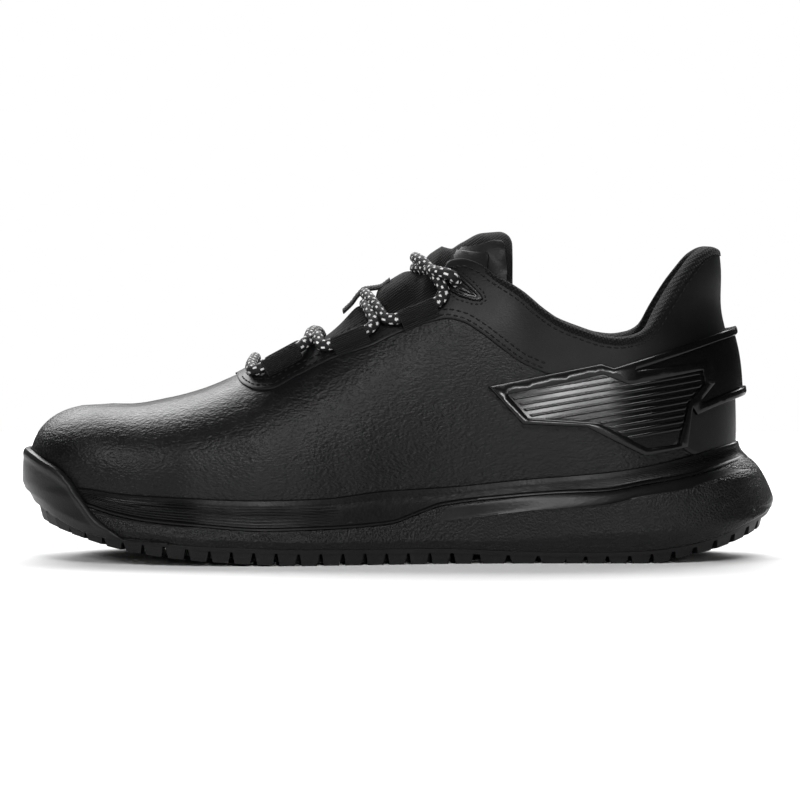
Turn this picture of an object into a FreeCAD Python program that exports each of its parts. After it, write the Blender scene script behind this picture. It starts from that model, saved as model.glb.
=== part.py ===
"""Left golf shoe, laced, with a spikeless lugged outsole.

Millimetres.  +X points to the heel, +Y to the medial side, +Z up.  The lugs stand on z = 0.
"""
import FreeCAD, Part
import math
import os

from FreeCAD import Vector

# ---- driving sizes ---------------------------------------------------------------------
CENTRE_Y = 3.0            # medial shift of the centre plane, so that the box is centred
TOE_TIP = -150.6          # foremost point of the leather, just above the welt
HEEL_TIP = 135.6          # rearmost point of the leather, just above the welt
TOE_ARC_X = -82.0         # where the toe outline starts to round
HEEL_ARC_X = 84.0         # where the heel outline starts to round
OUTLINE_POWER = 2.25      # how square the toe and heel outlines are
LEATHER = 1.4             # outer leather
CEMENT = 0.15             # gap left for cement between two layers
LINING = 0.8              # lining textile
BINDING = 2.5             # height of the collar binding
BINDING_PROUD = 0.3       # how far the binding stands off the leather
CLIP_THICK = 2.6          # heel clip on the sides
CLIP_BACK = 5.4           # heel clip behind the heel
RECESS_DEPTH = 0.6        # recess in the clip
RIB_GROOVE = 0.9          # grooves between the ribs in that recess
RIB_PITCH = 2.55
RIB_SLOPE = 9.4           # degrees, rising to the rear
RIB_CUT = 1.1             # height of one groove
RIB_START = 36.0          # x where the grooves start
RIB_RUN = 88.0            # and how far they run to the rear
BOARD = 2.0               # insole board
FOOTBED = 4.0             # footbed
LACE = 4.0                # lace diameter
LOOP_WALL = 0.8           # webbing of a lace loop
LOOP_PLAY = 0.35          # room round the lace in a loop
AGLET = 22.0              # hard tip of the lace
PLATE_THICK = 1.0         # eyelet plate
EYELET_HOLE = 5.6         # bore of the top eyelets
OUTSOLE_PLATE = 1.8       # rubber between the lugs and the midsole
LUG_LENGTH = 8.2          # along the edge of the sole
LUG_PITCH = 8.6
EDGE_TAPER = 0.74         # foot of a lug in the edge row, as a share of its top
INNER_TAPER = 0.86        # the same for the lugs inside that row
LUG_DEEP = 8.0            # in from the edge of the sole
LUG_GRID = 9.6            # pitch of the lugs inside the edge row
LUG_SIZE = 3.7            # from the middle of such a lug to its corner
SHANK = (96.0, 30.0, 1.6) # length, width and thickness of the stiffener
TONGUE_SKIN = 0.8         # tongue cover and tongue lining
TONGUE_FOAM = 4.2
TONGUE_GAP = 1.1          # tongue below the lining and binding beside it
TONGUE_SUNK = 0.5         # tongue below the ridge line between the lace crossings
CROSSINGS = ((-35.0, 8.4), (-14.0, 7.2), (6.0, 5.4))    # x, depth: dents under the lace
TONGUE_END = 45.3         # x of the tongue's free end
TONGUE_TOP = 132.0
KEEPER_WIDTH = 12.0       # webbing keeper that the middle crossing runs under
FOLD_X = 18.0             # where the tongue's free end folds
JOINT_GAP = 0.15          # between the two parts of the tongue
LOW = -14.0               # bottom of the bodies that the layers are cut from
OPEN_TOP = 190.0          # where the collar walls would meet if they went on


# ---- curves ----------------------------------------------------------------------------
def smooth(points):
    """A function through points (x, value) that never overshoots them."""
    xs = [p[0] for p in points]
    ys = [p[1] for p in points]
    step = [(ys[i + 1] - ys[i]) / (xs[i + 1] - xs[i]) for i in range(len(xs) - 1)]
    slope = [step[0]]
    for a, b in zip(step, step[1:]):
        slope.append(0.0 if a * b <= 0 else 2 * a * b / (a + b))
    slope.append(step[-1])

    def value(x):
        if x <= xs[0]:
            return ys[0]
        if x >= xs[-1]:
            return ys[-1]
        i = max(k for k in range(len(xs) - 1) if xs[k] <= x)
        h = xs[i + 1] - xs[i]
        t = (x - xs[i]) / h
        return (ys[i] * (1 + 2 * t) * (1 - t) ** 2 + h * slope[i] * t * (1 - t) ** 2
                + ys[i + 1] * t * t * (3 - 2 * t) - h * slope[i + 1] * t * t * (1 - t))

    return value


def bump(x, centre, width):
    return math.exp(-((x - centre) / width) ** 2)


def ramp(x, start, end):
    """0 before start, 1 after end, smooth between."""
    t = min(1.0, max(0.0, (x - start) / (end - start)))
    return t * t * (3 - 2 * t)


# widest half-width of the upper, before the toe and heel rounding
HALF_WIDTH = {
    -1: smooth([(-152, 48), (-120, 50), (-100, 52.5), (-80, 54.5), (-60, 54.5), (-40, 52.5),
                (-20, 48.5), (0, 44), (20, 40.5), (40, 38.5), (60, 37.5), (85, 37), (137, 36)]),
    1: smooth([(-152, 47), (-120, 48.5), (-100, 49), (-80, 48), (-60, 45.5), (-40, 41.5),
               (-20, 37.5), (0, 35.2), (20, 34.8), (40, 35.5), (60, 36.4), (85, 36.6), (137, 36)]),
}
# top of the midsole wall, seen from the side
FEATHER = smooth([(-153, 31), (-126, 29.7), (-110, 27.8), (-85, 26.6), (-56, 25.6), (-29, 26.2),
                  (-7, 28.8), (20, 30.3), (48, 33), (81, 35.7), (97, 38), (113, 41.4),
                  (126, 44.7), (137, 47)])
# ridge of the instep, seen from the side
RIDGE = smooth([(-117, 62.2), (-110, 62.1), (-93.6, 64.6), (-81, 67.9), (-69, 72.7), (-57, 79),
                (-45, 85.3), (-28.6, 95.8), (-12.4, 107.5), (-0.2, 115.3), (12, 123.5),
                (24, 130), (40, 133.5), (47, 137), (60, 156), (80, 180), (100, OPEN_TOP)])
# squareness of the cross-section
SECTION_POWER = smooth([(-117, 2.65), (-95, 2.5), (-60, 2.2), (-20, 2.0), (110, 2.0)])
# edge of the opening: throat, eyestay top, then the collar
OPENING = smooth([(-64, 78.5), (-56, 77.4), (-40.8, 84.1), (-13, 94.2), (12, 103.8), (15.6, 109),
                  (17.5, 116), (20, 120.2), (25, 120.9), (32.3, 118.6), (38.4, 114.1), (48.5, 107.6),
                  (56.7, 100.7), (64.8, 95.4), (72.9, 92.2), (81, 89.6), (87, 88.9), (93.2, 89.8),
                  (98, 92), (105.4, 102.3), (113.5, 114.5), (121.6, 123.1), (126, 124.9), (131, 123)])
# underside of the lasted upper
BOTTOM = smooth([(-153, 25.2), (-146, 24.3), (-138, 21.6), (-130, 19.2), (-115, 16.4), (-100, 14.5),
                 (-70, 12.2), (-40, 12.6), (0, 17), (40, 22), (80, 25), (137, 27)])
# sole lines, seen from the side
GROUND = smooth([(-153, 20.5), (-146, 17.1), (-138, 14), (-126, 10.2), (-111, 6.3), (-95, 3.7), (-80, 2.2),
                 (-60, 0.9), (-36, 0), (99, 0), (114, 2.8), (124, 4.9), (133, 7.7), (146, 13), (153, 16)])
RUBBER_TOP = smooth([(-153, 27), (-148.6, 24), (-143, 22), (-135.6, 18.3), (-128, 15), (-122, 13),
                     (-111, 11), (-99.7, 10.4), (-87, 8.5), (-71, 7.7), (-28.6, 6.4), (16, 6.3),
                     (40, 5.3), (65, 4.6), (81, 4.6), (101, 5.3), (118, 7.9), (130, 11.6),
                     (142, 16.5), (151.3, 20.9), (154, 22)])
CARRIER_EDGE = smooth([(-153, 26), (-126, 23), (-113, 19.6), (-100, 17.3), (-79, 15.4), (-54, 13.7),
                       (-29, 14.2), (-4, 16), (8, 20), (17, 23), (40, 25.7), (65, 27.7), (81, 28.4),
                       (97, 31.1), (113.5, 33.8), (125.7, 36.8), (138, 40.6)])
CREASE = smooth([(-153, 27), (-126, 21), (-100, 16.8), (-79, 14.9), (-54, 13.2), (-29, 13.7), (0, 15.6),
                 (24, 18), (50, 21), (81, 23.6), (97, 27), (113.5, 29.6), (121.6, 32.1), (136, 35.3),
                 (146, 37)])
SEAM = [(-70, 80), (-65.2, 73.1), (-62.7, 70.7), (-57.1, 68.8), (-52.2, 69), (-40.8, 74.3),
        (-25.4, 81.6), (-12.4, 85.7), (-0.2, 91.4), (12, 95.6), (18.5, 97), (24.2, 96), (32.3, 91.4),
        (40.4, 85.3), (48.5, 79.6), (57.9, 75.5), (80, 66), (100, 54), (118, 42), (140, 30)]


# ---- the upper as one surface ----------------------------------------------------------
def outline(side, s):
    """Plan outline at the welt: s 0..1 round the toe, 1..2 along the side, 2..3 round the heel."""
    if 1.0 <= s <= 2.0:
        x = TOE_ARC_X + (s - 1.0) * (HEEL_ARC_X - TOE_ARC_X)
        return x, side * HALF_WIDTH[side](x)
    toe = s < 1.0
    angle = math.pi / 2 * (s if toe else 3.0 - s)
    c, q = max(0.0, math.cos(angle)), math.sin(angle)
    r = (c ** OUTLINE_POWER + q ** OUTLINE_POWER) ** (-1.0 / OUTLINE_POWER)
    if toe:
        x = TOE_ARC_X - (TOE_ARC_X - TOE_TIP) * c * r
    else:
        x = HEEL_ARC_X + (HEEL_TIP - HEEL_ARC_X) * c * r
    return x, side * HALF_WIDTH[side](x) * q * r


def outline_normal(side, s):
    if s <= 0.0:
        return -1.0, 0.0
    if s >= 3.0:
        return 1.0, 0.0
    a, b = outline(side, max(0.0, s - 0.01)), outline(side, min(3.0, s + 0.01))
    tx, ty = b[0] - a[0], b[1] - a[1]
    size = math.hypot(tx, ty)
    return -side * ty / size, side * tx / size


def dome(side, s, v):
    """Point of the leather's outer surface: v -1..0 below the welt, 0..1 up to the ridge."""
    bx, by = outline(side, s)
    sx = bx
    if bx < -105.0:
        sx = -105.0 + (bx + 105.0) * 0.25
    if bx > 70.0:
        sx = 70.0 + (bx - 70.0) * 0.35
    base = FEATHER(bx) + 2.0
    if v <= 0.0:
        tuck = 1.0 - 0.06 * v * v
        return Vector(sx + (bx - sx) * tuck, by * tuck, base + v * (base - LOW))
    angle = math.pi / 2 * v
    c, q = max(0.0, math.cos(angle)), math.sin(angle)
    n = SECTION_POWER(bx)
    r = (c ** n + q ** n) ** (-1.0 / n)
    z = base + (RIDGE(sx) - base) * q * r
    x = sx + (bx - sx) * c * r
    y = by * c * r
    waist = 3.0 * bump(z, 100.0, 14.0) * ramp(bx, 95.0, 132.0)
    nx, ny = outline_normal(side, s)
    return Vector(x - nx * waist, y - ny * waist, z)


def dome_normal(side, s, v):
    e = 0.004
    if v >= 1.0:
        x = dome(side, s, 1.0).x
        return Vector(RIDGE(x - 1.0) - RIDGE(x + 1.0), 0.0, 2.0).normalize()
    dv = dome(side, s, min(1.0, v + e)) - dome(side, s, max(-1.0, v - e))
    if s <= 0.0 or s >= 3.0:
        out = -1.0 if s <= 0.0 else 1.0
        return Vector(out * dv.z, 0.0, -out * dv.x).normalize()
    ds = dome(side, min(3.0, s + e), v) - dome(side, max(0.0, s - e), v)
    return (ds.cross(dv) * -side).normalize()


def on_dome(side, x, z, d=0.0):
    """Point of the surface at a side-view place of the instep, d off it, and the normal there."""
    s = 1.0 + (x - TOE_ARC_X) / (HEEL_ARC_X - TOE_ARC_X)
    low, high = 0.0, 1.0
    for _ in range(40):
        v = (low + high) / 2
        if dome(side, s, v).z < z:
            low = v
        else:
            high = v
    n = dome_normal(side, s, v)
    return dome(side, s, v) + n * d, n


# ---- solids from surfaces --------------------------------------------------------------
TOE_STEPS = [i / 9.0 for i in range(9)]
SIDE_STEPS = [1.0 + i / 22.0 for i in range(22)]
HEEL_STEPS = [2.0 + i / 9.0 for i in range(10)]
STATIONS = TOE_STEPS + SIDE_STEPS + HEEL_STEPS
DOME_ROWS = [-1.0, -0.8, -0.6, -0.4, -0.2] + [i / 13.0 for i in range(14)]


def knots(count, degree):
    """Clamped, evenly spaced knots for a row of control points, and how often each counts."""
    spans = count - degree
    return [float(i) for i in range(spans + 1)], [degree + 1] + [1] * (spans - 1) + [degree + 1]


def closed_body(rows_of_side, degree):
    """Solid inside the two skins whose control nets are rows_of_side(side)[station][level].

    The skins meet on the centre plane; flat faces close the lowest and the highest level.
    """
    faces, rims = [], {"low": [], "high": []}
    for side in (-1, 1):
        rows = rows_of_side(side)
        along, along_mults = knots(len(rows), 3)
        up, up_mults = knots(len(rows[0]), degree)
        surface = Part.BSplineSurface()
        surface.buildFromPolesMultsKnots(rows, along_mults, up_mults, along, up, False, False,
                                         3, degree)
        skin = surface.toShape()
        faces.append(skin)
        for edge in skin.Edges:
            box = edge.BoundBox
            if max(abs(box.YMin), abs(box.YMax)) > 1.0:
                rims["low" if box.ZMax < LOW + 1e-3 else "high"].append(edge)
    for rim in rims.values():
        if rim:
            faces.append(Part.Face(Part.Wire(Part.__sortEdges__(rim))))
    shell = Part.makeShell(faces)
    shell.sewShape()
    solid = Part.Solid(shell)
    solid.fix(1e-5, 1e-6, 1e-4)
    return solid


def upper_body(depth):
    """Closed body whose skin lies depth(point) off the leather's outer surface."""
    offset = depth if callable(depth) else (lambda p: depth)

    def rows(side):
        grid = []
        for s in STATIONS:
            line = []
            for v in DOME_ROWS:
                p = dome(side, s, v)
                d = offset(p)
                q = p + dome_normal(side, s, v) * d
                if v <= -1.0:
                    q.z = LOW
                if s <= 0.0 or s >= 3.0 or v >= 1.0:
                    q.y = 0.0
                line.append(q)
            grid.append(line)
        return grid

    return closed_body(rows, 3)


# wall of the sole: how far each level stands outside the welt outline, by the outline's x
SOLE_LEVELS = [
    (lambda x: LOW, smooth([(-151, -7.5), (-135, -3), (-115, 0.5), (-90, 2), (60, 2.5), (100, 4),
                            (125, 6.5), (136, 8.5)])),
    (GROUND, smooth([(-151, -5.5), (-135, -1.5), (-115, 1.5), (-90, 2.5), (60, 3.2), (100, 5),
                     (125, 8.5), (136, 11)])),
    (RUBBER_TOP, smooth([(-151, -3.2), (-135, 0.5), (-115, 3), (-90, 4), (40, 4.6), (80, 6),
                         (110, 9), (128, 13.5), (136, 15.8)])),
    (lambda x: RUBBER_TOP(x) + 3.0 + 4.5 * ramp(x, 20, 90) * (1 - ramp(x, 120, 148)),
     smooth([(-151, -1.5), (-135, 1.2), (-115, 3.8), (-90, 5), (40, 5.6), (80, 7.6), (110, 10.5),
             (128, 14.6), (136, 16.6)])),
    (CREASE, smooth([(-151, -1.0), (-135, 1.2), (-115, 3), (-90, 3.6), (0, 4), (40, 4.4), (80, 5),
                     (110, 6.5), (128, 9), (136, 10.6)])),
    (lambda x: (CREASE(x) + FEATHER(x)) / 2 + 1.0,
     smooth([(-151, 0.2), (-115, 2.4), (-90, 3.0), (0, 3.0), (80, 2.6), (110, 2.8), (136, 3.4)])),
    (FEATHER, smooth([(-151, 0.8), (-90, 1.2), (80, 1.1), (136, 1.3)])),
    (lambda x: 75.0, smooth([(-151, 0.8), (-90, 1.2), (80, 1.1), (136, 1.3)])),
]


def sole_point(side, s, level, extra=0.0):
    height, out = SOLE_LEVELS[level]
    bx, by = outline(side, s)
    nx, ny = outline_normal(side, s)
    e = out(bx) + extra
    x, y = bx + nx * e, by + ny * e
    return Vector(x, 0.0 if s <= 0.0 or s >= 3.0 else y, height(x))


def sole_body(extra=0.0):
    levels = range(len(SOLE_LEVELS))
    return closed_body(
        lambda side: [[sole_point(side, s, k, extra) for k in levels] for s in STATIONS], 2)


# ---- side-view regions -----------------------------------------------------------------
FAR = 120.0


def prism(wire):
    return Part.Face(wire).extrude(Vector(0, 2 * FAR, 0))


def polygon(points):
    corners = [Vector(x, -FAR, z) for x, z in points]
    return prism(Part.makePolygon(corners + corners[:1]))


def spline(points):
    curve = Part.BSplineCurve()
    curve.interpolate([Vector(x, -FAR, z) for x, z in points])
    return curve.toShape()


def region(points, corners):
    """Region bounded by a smooth line through points and by straight lines through corners."""
    edge = spline(points)
    loop = [Vector(points[-1][0], -FAR, points[-1][1])]
    loop += [Vector(x, -FAR, z) for x, z in corners]
    loop.append(Vector(points[0][0], -FAR, points[0][1]))
    return prism(Part.Wire([edge] + Part.makePolygon(loop).Edges))


def under(line, start=-170.0, end=170.0, step=8.0, floor=-60.0):
    """Everything under a side-view line."""
    count = int((end - start) / step)
    points = [(start + i * step, line(start + i * step)) for i in range(count + 1)]
    return region(points, [(points[-1][0], floor), (start, floor)])


def slab(x0, x1, z0=-60.0, z1=260.0):
    return polygon([(x0, z0), (x1, z0), (x1, z1), (x0, z1)])


def opening_region(drop=0.0):
    """Everything under the edge of the opening, and all of the closed forefoot."""
    xs = [-57, -50, -42, -34, -26, -18, -10, -2, 5, 10.5, 13.5, 15.2, 16.2, 17, 18.2, 20.5, 25, 30,
          35, 40, 45, 50, 56, 62, 68, 74, 80, 86, 90.5, 94.5, 98, 101.5, 106, 110, 114, 118, 122,
          126, 131, 136]
    points = [(x, OPENING(x) - drop) for x in xs]
    return region(points, [(170, points[-1][1] - 3), (170, -60), (-170, -60), (-170, 140),
                           (-62, 140)])


def between(shape, low, high):
    """The part of a shape above one side-view line and under another."""
    return shape.common(under(high)).cut(under(low))


# ---- nodes -----------------------------------------------------------------------------
NODES = {}


def add(name, shape):
    solids = [solid for solid in shape.Solids if solid.Volume > 1.0]
    NODES[name] = solids[0] if len(solids) == 1 else Part.makeCompound(solids)


def raised(line, by):
    return lambda x: line(x) + by


FLOOR = raised(BOTTOM, BOARD + CEMENT)
FOOTBED_TOP = raised(BOTTOM, BOARD + FOOTBED + 2 * CEMENT)


def middle_depth(p):
    """Inner face of the layer between leather and lining: thick foam round the collar."""
    under_edge = OPENING(p.x) - p.z
    collar = ramp(p.x, 25.0, 72.0) * (1.0 - ramp(under_edge, 14.0, 46.0))
    ear = 1.0 - 0.55 * ramp(p.z, 98.0, 118.0)
    heel = ramp(p.x, 60.0, 90.0)
    return -(LEATHER + 1.2 + 0.7 * heel + 5.4 * collar * ear)


def lining_depth(p):
    return middle_depth(p) - CEMENT - LINING


SKIN = upper_body(0.0)
INSIDE_LEATHER = upper_body(-LEATHER)
MIDDLE_OUT = upper_body(-LEATHER - CEMENT)
MIDDLE_IN = upper_body(middle_depth)
LINING_OUT = upper_body(lambda p: middle_depth(p) - CEMENT)
LINING_IN = upper_body(lining_depth)
CLEAR = upper_body(CEMENT)
SOLE = sole_body()
OPEN = opening_region()
OPEN_LOW = opening_region(BINDING)
COLLAR_START = 30.0


def upper_layers():
    seam = region(SEAM, [(190, 30), (190, 260), (-70, 260)])
    bound = OPEN_LOW.fuse(slab(-200, COLLAR_START)).common(OPEN)
    leather = SKIN.common(bound).cut(under(BOTTOM)).cut(INSIDE_LEATHER)
    quarters = leather.common(seam)
    add("vamp", leather.cut(seam))
    for name, side in (("quarter_lateral", -1), ("quarter_medial", 1)):
        half = Part.makeBox(400, FAR, 400, Vector(-200, min(0, side * FAR), -100))
        hole = eyelet_bore(side)
        add(name, quarters.common(half).cut(hole))

    middle = MIDDLE_OUT.common(bound).cut(under(FLOOR)).cut(MIDDLE_IN)
    toe = slab(-200, -112)
    heel = slab(76, 200, -60, 74)
    foam = region([(34, 150), (34, 104), (40, 92), (56, 78), (76, 74)], [(200, 74), (200, 150)])
    eyestay = region([(-62, 74), (-52, 66), (-26, 74), (0, 84), (16, 94), (34, 96)],
                     [(34, 160), (-62, 160)]).cut(foam)
    add("toe_puff", middle.common(toe))
    add("heel_counter", middle.common(heel))
    add("collar_foam", middle.common(foam))
    rest = middle.cut(toe).cut(heel).cut(foam)
    tape = rest.common(eyestay)
    for name, side in (("eyestay_tape_lateral", -1), ("eyestay_tape_medial", 1)):
        half = Part.makeBox(400, FAR, 400, Vector(-200, min(0, side * FAR), -100))
        add(name, tape.common(half).cut(eyelet_bore(side)))
    add("vamp_backing", rest.cut(eyestay))

    lining = LINING_OUT.common(bound).cut(under(FLOOR)).cut(LINING_IN)
    for side in (-1, 1):
        lining = lining.cut(eyelet_bore(side))
    rear = slab(30, 200)
    add("vamp_lining", lining.cut(rear))
    add("collar_lining", lining.common(rear))

    rim = OPEN.cut(OPEN_LOW).common(slab(COLLAR_START, 200))
    strip = upper_body(BINDING_PROUD).common(rim)
    add("topline_binding", strip.cut(upper_body(lambda p: lining_depth(p) - BINDING_PROUD)))

    add("insole_board", between(MIDDLE_OUT, BOTTOM, raised(BOTTOM, BOARD)))
    bed = upper_body(lambda p: lining_depth(p) - 0.3)
    add("footbed", between(bed, FLOOR, FOOTBED_TOP))


# ---- sole ------------------------------------------------------------------------------
def plate_floor(x):
    """Underside of the outsole plate, in straight stretches."""
    step = 19.0
    a = math.floor(x / step) * step
    t = (x - a) / step
    return (1 - t) * RUBBER_TOP(a) + t * RUBBER_TOP(a + step) - OUTSOLE_PLATE


def lug(footprint, taper):
    """Block with a sloping flat sole, from the ground line up into the outsole plate."""
    x = sum(p[0] for p in footprint) / len(footprint)
    y = sum(p[1] for p in footprint) / len(footprint)
    slope = (GROUND(x + 2) - GROUND(x - 2)) / 4
    rise = plate_floor(x) + 0.7 - GROUND(x)
    high = [Vector(a, b, GROUND(x) + rise + slope * (a - x)) for a, b in footprint]
    low = [Vector(x + (a - x) * taper, y + (b - y) * taper, GROUND(x) + slope * (a - x) * taper)
           for a, b in footprint]
    faces = [Part.Face(Part.makePolygon(ring + ring[:1])) for ring in (high, low)]
    for k in range(len(footprint)):
        n = (k + 1) % len(footprint)
        faces.append(Part.Face(Part.makePolygon([low[k], low[n], high[n], high[k], low[k]])))
    solid = Part.Solid(Part.makeShell(faces))
    solid.fix(1e-5, 1e-6, 1e-4)
    return solid


def edge_lug(side, s, length):
    """Block at the sole's edge, narrower inwards."""
    p = sole_point(side, s, 1)
    nx, ny = outline_normal(side, s)
    tx, ty = -ny, nx
    half = length / 2
    corners = [(0.8, -half), (0.8, half), (2 - LUG_DEEP, half * 0.8), (-LUG_DEEP, 0),
               (2 - LUG_DEEP, -half * 0.8)]
    return lug([(p.x + nx * a + tx * b, p.y + ny * a + ty * b) for a, b in corners], EDGE_TAPER)


def lugs():
    """A row of lugs round the edge and a staggered grid of hexagons inside it."""
    blocks = []
    for side in (-1, 1):
        s, last = 0.0, None
        while s <= 3.0:
            p = sole_point(side, s, 1)
            arch = 26 < p.x < 62
            pitch = LUG_PITCH * (1.35 if arch else 1.0)
            if last is None or math.hypot(p.x - last.x, p.y - last.y) >= pitch:
                if abs(p.y) > LUG_LENGTH * 0.8 or (s == 0.0 and side < 0):
                    blocks.append(edge_lug(side, s, LUG_LENGTH * (1.4 if arch else 1.0)))
                last = p
            s += 0.004
    row = 0
    x = -140.0
    while x < 140.0:
        for k in range(-6, 7):
            y = (k + 0.5 * (row % 2)) * LUG_GRID
            side = -1 if y < 0 else 1
            inside = abs(y) < HALF_WIDTH[side](x) * end_factor(x) - LUG_DEEP - 4.5
            if inside and not (-4 < x < 44 and abs(y) < 14):
                blocks.append(lug([(x + LUG_SIZE * math.cos(math.pi / 3 * c),
                                    y + LUG_SIZE * math.sin(math.pi / 3 * c))
                                   for c in range(6)], INNER_TAPER))
        row += 1
        x += LUG_GRID * 0.87
    return blocks


def end_factor(x):
    """Share of the full width that the rounded toe or heel leaves at x."""
    if x < TOE_ARC_X:
        t = (TOE_ARC_X - x) / (TOE_ARC_X - TOE_TIP)
    elif x > HEEL_ARC_X:
        t = (x - HEEL_ARC_X) / (HEEL_TIP - HEEL_ARC_X)
    else:
        return 1.0
    return max(0.0, 1.0 - t ** OUTLINE_POWER) ** (1.0 / OUTLINE_POWER)


def sole_parts():
    cup = CLEAR.cut(under(raised(BOTTOM, -CEMENT)))
    below = [(19.0 * k, plate_floor(19.0 * k)) for k in range(-9, 10)]
    plate = SOLE.common(under(RUBBER_TOP)).cut(polygon(below + [(171, -60), (-171, -60)]))
    add("outsole", plate.fuse(lugs()))

    length, width, thick = SHANK
    shank_floor = RUBBER_TOP(20.0) + 4.0
    shank = Part.makeBox(length, width, thick, Vector(20 - length / 2, -width / 2, shank_floor))
    add("shank_plate", shank)
    room = Part.makeBox(length + 2 * CEMENT, width + 2 * CEMENT, thick + 2 * CEMENT,
                        Vector(20 - length / 2 - CEMENT, -width / 2 - CEMENT, shank_floor - CEMENT))
    midsole = between(SOLE, raised(RUBBER_TOP, CEMENT), CARRIER_EDGE)
    add("midsole", midsole.cut(cup).cut(room))
    carrier = between(SOLE, raised(CARRIER_EDGE, CEMENT), FEATHER)
    add("midsole_carrier", carrier.cut(cup))

    guard = sole_body(1.7).cut(sole_body(CEMENT)).cut(CLEAR)
    outline_points = [(-109.5, 9.0), (-111.5, 12.4), (-117, 16.2), (-121.6, 20), (-127.7, 27.4),
                      (-132.9, 34), (-137.9, 38), (-143.4, 40.6), (-148, 43), (-150.6, 44)]
    front = region(outline_points, [(-170, 44), (-170, -30), (-109.5, -30)])
    guard = guard.common(front).cut(under(raised(RUBBER_TOP, -1.0)))
    add("toe_bumper", guard)


# ---- heel clip -------------------------------------------------------------------------
CLIP_OUTLINE = [(35, 70.1), (80, 79.2), (85.1, 77.5), (123.7, 89.7), (132.8, 92.5), (150, 93),
                (150, 68.5), (141.4, 68.5), (135.3, 65.4), (117.6, 58.7), (115.9, 61.7),
                (113.9, 45.9), (97.3, 42.6), (74.4, 54.1), (48.9, 55.2)]
RECESS_OUTLINE = [(42.6, 66.8), (81, 74.9), (91.2, 70.9), (119.6, 75.9), (120.6, 70.9),
                  (114.5, 63.8), (110.5, 47), (98.3, 45.6), (79, 55.9), (51, 57.7)]


def clip_depth(p):
    return CLIP_THICK + (CLIP_BACK - CLIP_THICK) * ramp(p.x, 116.0, 134.0)


def heel_clip():
    clip = upper_body(clip_depth).cut(CLEAR).common(polygon(CLIP_OUTLINE))
    recess = polygon(RECESS_OUTLINE)
    clip = clip.cut(recess.cut(upper_body(CLIP_THICK - RECESS_DEPTH)))
    grooves = []
    slope = math.tan(math.radians(RIB_SLOPE))
    for k in range(15):
        z = 34.0 + k * RIB_PITCH / math.cos(math.radians(RIB_SLOPE))
        rear = z + RIB_RUN * slope
        grooves.append(polygon([(RIB_START, z), (RIB_START + RIB_RUN, rear),
                                (RIB_START + RIB_RUN, rear + RIB_CUT), (RIB_START, z + RIB_CUT)]))
    floor = upper_body(CLIP_THICK - RECESS_DEPTH - RIB_GROOVE)
    slots = Part.makeCompound(grooves).common(recess).cut(floor)
    add("heel_clip", clip.cut(slots))


# ---- tongue ----------------------------------------------------------------------------
def tongue_depth(p):
    """The tongue's outer face: near the ridge in the throat, inside the lining beside it."""
    covered = ramp(OPENING(p.x) - p.z, -16.0, -7.0)
    pressed = sum(deep * bump(p.x, x, 6.5) for x, deep in CROSSINGS)
    bare = TONGUE_SUNK + pressed
    hidden = -lining_depth(p) + TONGUE_GAP
    return -max(bare, bare * (1.0 - covered) + hidden * covered)


def tongue_layer(outer, inner, area):
    """The part of a side-view area between two depths below the tongue's outer face."""
    inside = upper_body(lambda p: tongue_depth(p) - inner)
    return upper_body(lambda p: tongue_depth(p) - outer).common(area).cut(inside)


TONGUE_WING = [(-66, 67), (-56, 64), (-40, 70), (-13, 80), (3, 88.5), (11, 97), (15, 107),
               (19, 114.4), (25, 116), (32.3, 113.6), (38.4, 109), (TONGUE_END, 104.8)]

# The keeper from the side: over the laces, then back along its underside.
KEEPER = [(-23, 97.5), (-20.4, 104.2), (-17.7, 108.9), (-14.6, 111.0), (-10.5, 111.8), (-6, 111.8),
          (-2.5, 113.0), (-2.3, 111.8), (-6.1, 110.7), (-10.4, 110.7), (-14.4, 109.9),
          (-16.9, 108.1), (-19.5, 103.7), (-22.0, 97.3)]


def tongue():
    area = region(TONGUE_WING, [(TONGUE_END, TONGUE_TOP), (-66, TONGUE_TOP)])
    fold_z = RIDGE(FOLD_X) - TONGUE_SUNK
    back = (TONGUE_END + 1.0, 105.2)
    ahead = FOLD_X - 20.0, fold_z + 20.0 * (fold_z - back[1]) / (back[0] - FOLD_X)
    run = math.hypot(back[0] - ahead[0], back[1] - ahead[1])
    lean = ((ahead[1] - back[1]) / run, (back[0] - ahead[0]) / run)
    shift = (lean[0] * JOINT_GAP, lean[1] * JOINT_GAP)
    tip_area = polygon([ahead, back, (80, 105), (80, 180), (ahead[0], 180)])
    gap_area = polygon([(ahead[0] - shift[0], ahead[1] - shift[1]),
                        (back[0] - shift[0], back[1] - shift[1]), (80, 104), (80, 180),
                        (ahead[0], 180)])
    layers = (("outer", 0.0, TONGUE_SKIN),
              ("foam", TONGUE_SKIN + 0.1, TONGUE_SKIN + 0.1 + TONGUE_FOAM),
              ("lining", TONGUE_SKIN + 0.2 + TONGUE_FOAM, 2 * TONGUE_SKIN + 0.2 + TONGUE_FOAM))
    for name, start, end in layers:
        layer = tongue_layer(start, end, area)
        add("tongue_" + name, layer.cut(gap_area))
        add("tongue_tip_" + name, layer.common(tip_area))
    add("tongue_patch", tongue_layer(-0.9, -0.1, slab(22, 41, 122.5, TONGUE_TOP)).common(tip_area))
    loop = [Vector(x, -KEEPER_WIDTH / 2, z) for x, z in KEEPER + KEEPER[:1]]
    arch = Part.Face(Part.makePolygon(loop)).extrude(Vector(0, KEEPER_WIDTH, 0))
    add("tongue_keeper", arch.cut(upper_body(lambda p: tongue_depth(p) + 0.1)))


# ---- lacing ----------------------------------------------------------------------------
EYELET = (22.5, 110.9)
LOOPS = (("a", (-53.4, 74.7), (-40.0, 82.0)),
         ("b", (-25.8, 84.5), (-12.4, 89.8)),
         ("c", (0.6, 95.4), (14.8, 101.1)))
LOOP_OUTER = LACE / 2 + LOOP_PLAY + LOOP_WALL


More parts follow.
